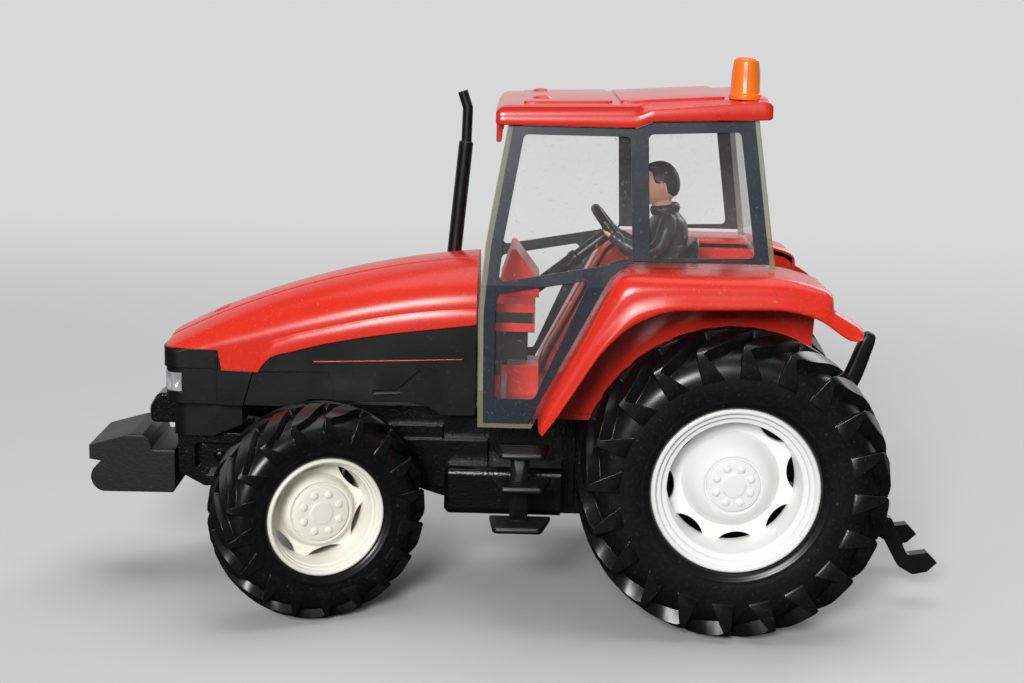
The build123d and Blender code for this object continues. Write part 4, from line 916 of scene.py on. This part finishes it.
linkLook = dict(
    # path of the bar behind the gearbox as (x, z), its half widths, and the outline of the lugs that hold it
    bar=((-55.5, 31.0), (-61.0, 34.6), (-64.6, 40.8), (-66.6, 46.4), (-67.6, 49.2)), start=29.5,
    half=((0, 2.2), (0.3, 1.6), (0.6, 1.7), (0.93, 1.45), (1, 1.25)),
    lug=((-50.4, 25.4), (-50.4, 30.6), (-53.6, 30.6), (-54.4, 28.0), (-53.6, 25.4)),
)


def makeTopLink():
    # flat bar along a path, a little wider than thick, with a rounded end, and two lugs on the gearbox
    look = linkLook
    path = ((boxOf("top_link")[1][0] - 1.0, look["start"]), *look["bar"])
    link = Shape()
    link.rod([(x, 0, z) for x, z in path], 40, look["half"], 32, flat=0.96, power=0.45)
    for middle in (2.2, -2.2):
        link.slab(look["lug"], 0.8, 5, middle - 0.6, middle + 0.6)
    link.make("topLinkBar", "black", ["top_link"], "black_plastic")


headlightLook = dict(
    rear=62.75, half=11.55, corner=3.4, front=66.5, inner=5.3, low=37.5, high=41.2, cell=2.4, dish=0.5,
)


def makeHeadlights():
    # bright cells round the corner of the nose:
    # depth of the dishes = dish (1 - cos 2 pi s) (1 - cos 2 pi v) / 4
    look = headlightLook
    corner, front, half = look["corner"], look["front"], look["half"]
    t = quarter(30)
    bend = np.stack([front - corner + corner * np.sin(t), half - corner + corner * np.cos(t)], -1)
    path = along(np.concatenate([((look["rear"], half),), bend, ((front, look["inner"]),)]), 97)
    way = np.gradient(path, axis=0)
    out = np.stack([-way[:, 1], way[:, 0]], -1)
    out = out / np.linalg.norm(out, axis=1, keepdims=True)
    out *= np.sign(np.sum(out * (path - (60, 0)), axis=1, keepdims=True))
    length = np.linalg.norm(np.diff(path, axis=0), axis=1).sum()
    s = np.linspace(0, round(length / look["cell"]), 97)[:, None]
    v = np.linspace(0, 1, 25)[None]
    deep = look["dish"] * (1 - np.cos(2 * math.pi * s)) * (1 - np.cos(2 * math.pi * v)) / 4
    height = look["low"] + (look["high"] - look["low"]) * v + 0 * deep
    depths = (deep, 1 + 0 * deep)
    face, back = (np.dstack([path[:, None] - out[:, None] * at[..., None], height]) for at in depths)
    lamps = Shape()
    for side in (1, -1):
        lamps.tube(np.concatenate([face, back[:, ::-1]], 1) * (1, side, 1))
    lamps.make("headlightCells", "silver", ["headlights"], "silver_paint", 60)


stripeLook = dict(ends=((38.0, 44.25), (10.2, 45.55)), half=0.11, proud=0.03, sunk=0.1)


def makeStripe():
    # thin raised line that follows the panel: its side is found by looking inwards at each point
    look = stripeLook
    half, proud, sunk = look["half"], look["proud"], look["sunk"]
    stripe = Shape()
    line = along(look["ends"], 60)
    for side in (1, -1):
        middle = []
        for x, z in line:
            hit = nodes["side_panels"].ray_cast((x * mm, side * 0.04, (z + lift[2]) * mm), (0, -side, 0))
            middle.append(hit[1][1] / mm if hit[0] else side * 13.8)
        rings = [np.stack([line[:, 0], np.array(middle) + side * out, line[:, 1] + up], -1)
                 for out, up in ((-sunk, -half), (proud, 0.02 - half), (proud, half - 0.02), (-sunk, half))]
        stripe.tube(np.stack(rings, 1))
    stripe.make("sideStripe", "red", [], "red_plastic")


bracketLook = dict(
    # side outlines and half widths: tow bracket behind the weights, front support under the nose
    tow=(((63.4, 29.2), (70.6, 29.2), (70.9, 32.4), (69.3, 35.0), (63.4, 35.2)), 3.2),
    support=(((49.0, 28.6), (64.6, 28.6), (64.6, 20.6), (60.0, 19.2), (49.0, 19.4)), 4.6),
    bolt=(57.2, 4.4, 23.4), boltR=1.1, boltHigh=0.7,
)


def makeBrackets():
    look = bracketLook
    brackets = Shape()
    for outline, half in (look["tow"], look["support"]):
        brackets.slab(outline, 0.9, 5, -half, half, ease=0.4)
    # low domes of a cross bolt: radius r cos t, height h sin t
    t = np.linspace(0, math.pi / 2 - 0.1, 6)
    dome = np.stack([look["boltR"] * np.cos(t), look["boltHigh"] * np.sin(t)], -1)
    x, y, z = look["bolt"]
    for side in (1, -1):
        brackets.tube(lathe(dome, (x, side * y, z), (0, side, 0), sides=28))
    brackets.make("frontBrackets", "casting", [], "black_plastic")


makeRoof()
makeBeacon()
makeBrackets()
makeSteps(1, "left")
makeSteps(-1, "right")
makeTopLink()
makeHeadlights()
makeStripe()
print("roof, beacon, steps, link, headlights and stripe")

steeringLook = dict(
    # middle of the ring, way down the column, radius and thickness of the ring, angles of the spokes,
    # and the hub and column as (radius, distance)
    top=(-17.9, 0.0, 69.0), way=(11.9, 0.0, -9.5), ring=5.1, thick=0.92,
    spokes=(0.15, math.pi - 0.15, 1.5 * math.pi),
    column=((0.3, -0.5), (1.1, -0.45), (1.45, -0.2), (1.5, 0.2), (1.3, 1.2), (1.15, 2.0), (1.15, 3.0),
            (1.15, 8.0), (1.5, 8.3), (1.55, 9.4), (1.3, 9.7), (1.3, 18.2)),
)


def makeSteering():
    # ring = torus round the column's axis with finger bumps on its underside; three spokes, hub and column
    look = steeringLook
    axis = unit(look["way"])
    across = np.array((0.0, 1.0, 0.0))
    up = np.cross(axis, across)
    centre = np.array(look["top"]) + axis * 0.8
    wheel = Shape()
    a, b = turns(96)[:, None, None], turns(16)[None, :, None]
    thick = look["thick"] * (1 + 0.06 * np.cos(b) * np.cos(24 * a))
    r = look["ring"] + thick * np.cos(b)
    wheel.loop(centre + r * (np.cos(a) * across + np.sin(a) * up) + thick * np.sin(b) * axis)
    for spoke in look["spokes"]:
        end = centre + look["ring"] * (math.cos(spoke) * across - math.sin(spoke) * up)
        path = np.linspace(centre + axis * 0.8, end, 8)
        wheel.tube(pipe(path, ((0, 0.75), (1, 0.5)), 12, wide=axis, flat=1.2))
    wheel.tube(lathe(look["column"], centre, axis, across))
    wheel.make("steeringWheel", "black", ["steering_wheel"], "black_plastic", 45)


seatLook = dict(
    # cushion and short backrest: path, half widths by share of the path, and how flat it is
    cushion=(((-31.4, 0, 57.0), (-28.0, 0, 57.4), (-24.0, 0, 57.6), (-20.9, 0, 57.2)),
             ((0, 6.6), (0.5, 7.0), (1, 6.4)), 0.22),
    backrest=(((-31.0, 0, 58.0), (-31.4, 0, 60.0), (-31.9, 0, 62.0), (-32.4, 0, 63.8)),
              ((0, 6.2), (0.6, 6.6), (1, 5.6)), 0.2),
    # path of the left armrest; half widths of the foot by share of its height
    armrest=((-32.2, 6.9, 61.0), (-29.0, 7.1, 61.6), (-25.0, 7.1, 61.7)),
    foot=((0, 4.6), (0.2, 4.0), (0.8, 4.0), (1, 5.2)),
)


def makeSeat():
    # cushion and short backrest, each a rounded block, two armrests and a foot
    look = seatLook
    seat = Shape()
    for path, half, flat in (look["cushion"], look["backrest"]):
        seat.rod(path, 24, half, 40, flat=flat, power=0.5)
    for side in (1, -1):
        seat.rod(np.array(look["armrest"]) * (1, side, 1), 20, 0.8, 16, flat=0.8)
    path = np.linspace((-27.0, 0, boxOf("seat")[0][2]), (-27.0, 0, 57.0), 12)
    seat.tube(pipe(path, look["foot"], 32, flat=0.9, power=0.6, ends=False))
    seat.make("seatCushions", "black", ["seat"], "black_plastic", 45)


figureLook = dict(
    # seated figure: sections of the body as x, z, depth, half width
    body=((-26.6, 58.0, 3.9, 4.6), (-27.0, 60.5, 4.0, 4.4), (-27.4, 63.0, 4.0, 4.1), (-27.6, 66.0, 4.1, 4.5),
          (-27.8, 68.6, 4.0, 5.0), (-27.9, 70.4, 3.5, 5.3), (-27.8, 71.6, 2.7, 4.6), (-27.6, 72.5, 2.1, 3.0),
          (-27.3, 73.1, 1.8, 2.1)),
    collar=((1.75, 72.2), (2.1, 73.0), (2.35, 73.8), (2.75, 73.5), (2.95, 72.8), (2.7, 72.1)),
    # left limbs: path, then radius by share of the path
    arm=(((-27.6, 4.4, 71.4), (-27.2, 5.9, 69.6), (-25.8, 6.6, 66.4), (-23.0, 6.5, 65.2), (-19.6, 5.8, 66.6),
          (-17.4, 5.2, 68.0)), ((0, 1.5), (0.15, 1.75), (0.45, 1.5), (0.6, 1.45), (0.9, 1.15), (1, 1.2))),
    leg=(((-27.0, 2.5, 60.2), (-22.5, 3.2, 60.4), (-18.0, 3.6, 59.9), (-16.0, 3.6, 57.0), (-14.6, 3.6, 50.0),
          (-13.4, 3.6, 43.6)), ((0, 2.1), (0.3, 2.0), (0.5, 1.75), (1, 1.35))),
    boot=(((-14.6, 3.6, 41.9), (-13.2, 3.6, 41.7), (-11.4, 3.7, 41.3), (-9.6, 3.8, 41.0)),
          ((0, 1.5), (0.5, 1.45), (1, 1.25))),
    hand=(((-17.6, 5.1, 67.9), (-16.6, 4.7, 68.7), (-15.9, 4.3, 69.0)),
          (0.8, 0.95, 1.05, 1.1, 1.1, 1.1, 1.1, 1.1, 1.05, 1.0, 0.95, 0.9, 0.8, 0.6)),
    neck=((-27.1, 0, 72.0), (-26.8, 0, 73.6), (-26.5, 0, 75.2)),
    head=(-26.1, 0.0, 77.4), headSize=(3.55, 2.95, 4.2),
    # bumps of the head by angles in degrees: angle round, angle up, width round, width up, height:
    # brows, eyes, nose, lips, chin, cheeks, ears
    bumps=(
        (19, 17, 14, 5, 0.035), (-19, 17, 14, 5, 0.035), (19, 6, 10, 7, -0.05), (-19, 6, 10, 7, -0.05),
        (0, 6, 6, 9, 0.06), (0, -7, 8, 8, 0.15), (7, -11, 5, 4, 0.04), (-7, -11, 5, 4, 0.04),
        (0, -23, 12, 3, 0.045), (0, -27, 13, 1.5, -0.03), (0, -31, 11, 3, 0.045), (0, -46, 17, 10, 0.08),
        (34, -14, 16, 14, 0.03), (-34, -14, 16, 14, 0.03), (92, -2, 7, 12, 0.13), (-92, -2, 7, 12, 0.13),
    ),
    # hairline, angle up by angle round: high at the brow, down before the ears, low at the nape
    hairline=((0, 44), (30, 42), (55, 36), (72, 8), (84, 6), (104, 10), (112, -18), (140, -28), (180, -32)),
)


def makeFigure():
    # body: rings between the sections, with low folds round the waist; limbs: tubes along smooth paths
    look = figureLook
    figure, legs = Shape(), Shape()
    angle = turns(56)[None]
    x, z, depth, half = (column[:, None] for column in curve(look["body"], 60).T)
    fold = 1 + 0.02 * np.sin(2.6 * z + 2.0 * np.sin(angle)) * np.clip((70 - z) / 6, 0, 1)
    figure.tube(np.stack([x + depth * fold * signedPower(np.cos(angle), 0.9),
                          half * fold * signedPower(np.sin(angle), 0.85), z + 0 * angle], -1))
    # collar: a band round the neck, open at the front, turned outwards at its top
    turn = np.linspace(math.radians(22), math.radians(338), 40)[:, None]
    r, height = np.array(look["collar"]).T[:, None]
    level = height - 0.35 * np.cos(turn)
    figure.tube(np.stack([-27.2 + r * np.cos(turn), 0.95 * r * np.sin(turn), level], -1))
    along60 = np.linspace(0, 1, 60)
    armFolds = 1 + 0.05 * np.sin(34 * along60) * (0.3 + 0.7 * along60)
    legFolds = 1 + 0.03 * np.sin(26 * along60)
    for side in (1, -1):
        for body, limb, folds in ((figure, "arm", armFolds), (legs, "leg", legFolds)):
            path, size = look[limb]
            body.rod(np.array(path) * (1, side, 1), 60, np.interp(along60, *np.array(size).T) * folds)
        path, size = look["boot"]
        legs.rod(np.array(path) * (1, side, 1), 20, size, flat=0.85)
    figure.make("figureJacket", "jacket", ["driver"], "driver_jacket", 50)
    legs.make("figureTrousers", "trousers", ["driver"], "driver_jacket", 50)


def makeHead():
    # head: ellipsoid whose radius grows by soft bumps h exp(-(da / wa)^2 - (de / we)^2) of plain textbook
    # proportions, by angle round it and angle up; hair: the same form a little larger, above a hairline
    look = figureLook
    around = np.degrees(turns(96))[None] - 180
    a = np.radians(around)

    def surface(up, grow):
        e = np.degrees(up)
        r = 1 + 0 * around * e
        for atA, atE, wideA, wideE, height in look["bumps"]:
            gap = (around - atA + 180) % 360 - 180
            r = r + height * np.exp(-((gap / wideA) ** 2) - ((e - atE) / wideE) ** 2)
        jaw = np.clip((-e - 12) / 50, 0, 1) * np.clip((np.abs(around) - 25) / 60, 0, 1)
        r = (r - 0.14 * jaw) * grow
        ball = np.stack(np.broadcast_arrays(np.cos(up) * np.cos(a), np.cos(up) * np.sin(a), np.sin(up)), -1)
        return ball * r[..., None] * look["headSize"] + look["head"]

    head = Shape()
    head.tube(surface(np.radians(np.linspace(-86, 86, 90))[:, None], 1.0))
    head.rod(look["neck"], 16, 1.75, 32)
    for side in (1, -1):
        path, size = look["hand"]
        head.rod(np.array(path) * (1, side, 1), 14, size, 20, flat=0.8)
    head.make("figureHead", "skin", ["driver"], "driver_jacket", 50)
    line = np.interp(np.abs(around), *np.array(look["hairline"]).T)
    share = np.array((0, 0.02, 0.06) + tuple(np.linspace(0.12, 0.97, 40)))[:, None]
    up = np.radians(line + (88 - line) * share)
    comb = 0.012 * np.sin(46 * a + 3 * np.sin(5 * up)) * np.sin(math.pi * share) ** 0.5
    crest = 0.05 * np.exp(-((around / 55) ** 2) - ((np.degrees(up) - 52) / 14) ** 2)
    thick = np.array((0.02, 0.05, 0.065) + (0.07,) * 40)[:, None]
    hair = Shape()
    hair.tube(np.concatenate([surface(up, 0.96)[:1], surface(up, 1.0 + thick + comb + crest)]))
    hair.make("figureHair", "hair", ["driver"], "driver_jacket", 60)


makeSteering()
makeSeat()
makeFigure()
makeHead()
print("steering wheel, seat and figure")


# camera: its axes in the frame, and its place in millimetres above the ground
lens = dict(
    length=60.356, sensor=36, place=(-0.361, 325.099, 113.5235), clip=(0.01, 30),
    right=(-0.9996559, -0.0097652, 0.0243452), down=(-0.0258024, 0.1990585, -0.9796479),
    ahead=(0.0047203, -0.9799390, -0.1992420),
)


def aimed(right, down, ahead, place):
    # matrix of a camera or lamp: it looks along ahead, from place in metres
    turned = Matrix(np.array((right, -np.array(down), -np.array(ahead))).T.tolist()).to_4x4()
    turned.translation = place
    return turned


camera = bpy.data.objects.new("camera", bpy.data.cameras.new("camera"))
scene.collection.objects.link(camera)
camera.data.lens, camera.data.sensor_width = lens["length"], lens["sensor"]
camera.data.clip_start, camera.data.clip_end = lens["clip"]
camera.matrix_world = aimed(lens["right"], lens["down"], lens["ahead"], np.array(lens["place"]) * mm)
scene.camera = camera

# floor and backdrop in one curved sheet, pale and plain; bounced light meets a darker floor, and mirrored
# light a dim one on the camera's side
studio = dict(
    width=6.0, front=3.0, back=-1.5, bend=0.9, height=3.2, aim=(0, 0, 0.045),
    pale=rgb(216, 216, 217), bounce=rgb(96, 97, 98), dim=rgb(48, 49, 50),
)


def backdrop():
    # sheet carried along a profile: flat floor, a quarter circle, then a wall
    # bend: y = back - bend sin t, z = bend - bend cos t
    t = quarter(24)
    bend, back = studio["bend"], studio["back"]
    y = np.concatenate([np.linspace(studio["front"], back, 12)[:-1], back - bend * np.sin(t), [back - bend]])
    z = np.concatenate([np.zeros(11), bend - bend * np.cos(t), [studio["height"]]])
    x = np.array((-studio["width"], studio["width"]))
    points = np.stack(np.broadcast_arrays(x[:, None], y[None, :], z[None, :]), -1).reshape(-1, 3)
    n = len(y)
    faces = [(n + k, n + k + 1, k + 1, k) for k in range(n - 1)]
    mesh = bpy.data.meshes.new("floor")
    mesh.from_pydata(points.tolist(), [], faces)
    mesh.polygons.foreach_set("use_smooth", [True] * len(faces))
    floor = bpy.data.objects.new("floor", mesh)
    scene.collection.objects.link(floor)
    finish = Finish("floorPaper", Roughness=0.9, Specular_IOR_Level=0.1)
    seen = finish.node("LightPath", out="Is Camera Ray")
    mirrored = finish.node("LightPath", out="Is Glossy Ray")
    through = finish.node("LightPath", out="Is Transmission Ray")
    height = finish.node("SeparateXYZ", None, {"Vector": finish.place}, "Z")
    away = 0 - finish.node("SeparateXYZ", None, {"Vector": finish.place}, "Y")
    bright = seen.most(mirrored * away.rise(0.1, 0.3)).most(through)
    near = finish.blend(mirrored, studio["bounce"], studio["dim"])
    finish.feed(Base_Color=finish.blend(bright, near, studio["pale"]))
    wall = finish.node("Emission", None, {"Color": studio["pale"], "Strength": 1.0})
    plain = away.rise(0.12, 0.55).most(height.rise(0.0, 0.05)) * bright
    both = finish.node("MixShader", None, {0: plain, 1: Wire(finish, finish.shader.outputs[0]), 2: wall})
    finish.tree.links.new(both.socket, finish.tree.nodes["Material Output"].inputs["Surface"])
    mesh.materials.append(finish.material)


backdrop()

lamps = (
    # name, place, size, watts
    ("keyLamp", (0.17, 0.80, 0.36), 0.22, 6.25),
    ("topLamp", (-0.10, -0.10, 1.0), 0.9, 4.4),
    ("farLamp", (-0.55, -0.75, 0.55), 0.5, 2.6),
)
for name, place, size, watts in lamps:
    lamp = bpy.data.objects.new(name, bpy.data.lights.new(name, "AREA"))
    lamp.data.shape = "SQUARE"
    lamp.data.size = size
    lamp.data.energy = watts
    scene.collection.objects.link(lamp)
    toward = unit(np.array(studio["aim"]) - np.array(place))
    side = unit(np.cross(toward, (0.0, 0.01, 1.0)))
    lamp.matrix_world = aimed(side, np.cross(toward, side), toward, place)
world = bpy.data.worlds.new("studio")
scene.world = world
world.use_nodes = True
sky = Nodes(world.node_tree)
background = sky.tree.nodes["Background"]
background.inputs["Color"].default_value = studio["pale"]
# strength: 1 for the camera, 0.3 for soft light, 0.12 for mirrored rays
seen, mirrored = (sky.node("LightPath", out=kind) for kind in ("Is Camera Ray", "Is Glossy Ray"))
strength = (0.3 - mirrored * 0.18).most(seen)
sky.tree.links.new(strength.socket, background.inputs["Strength"])
scene.view_settings.view_transform = "Standard"
print("camera, floor and lamps")
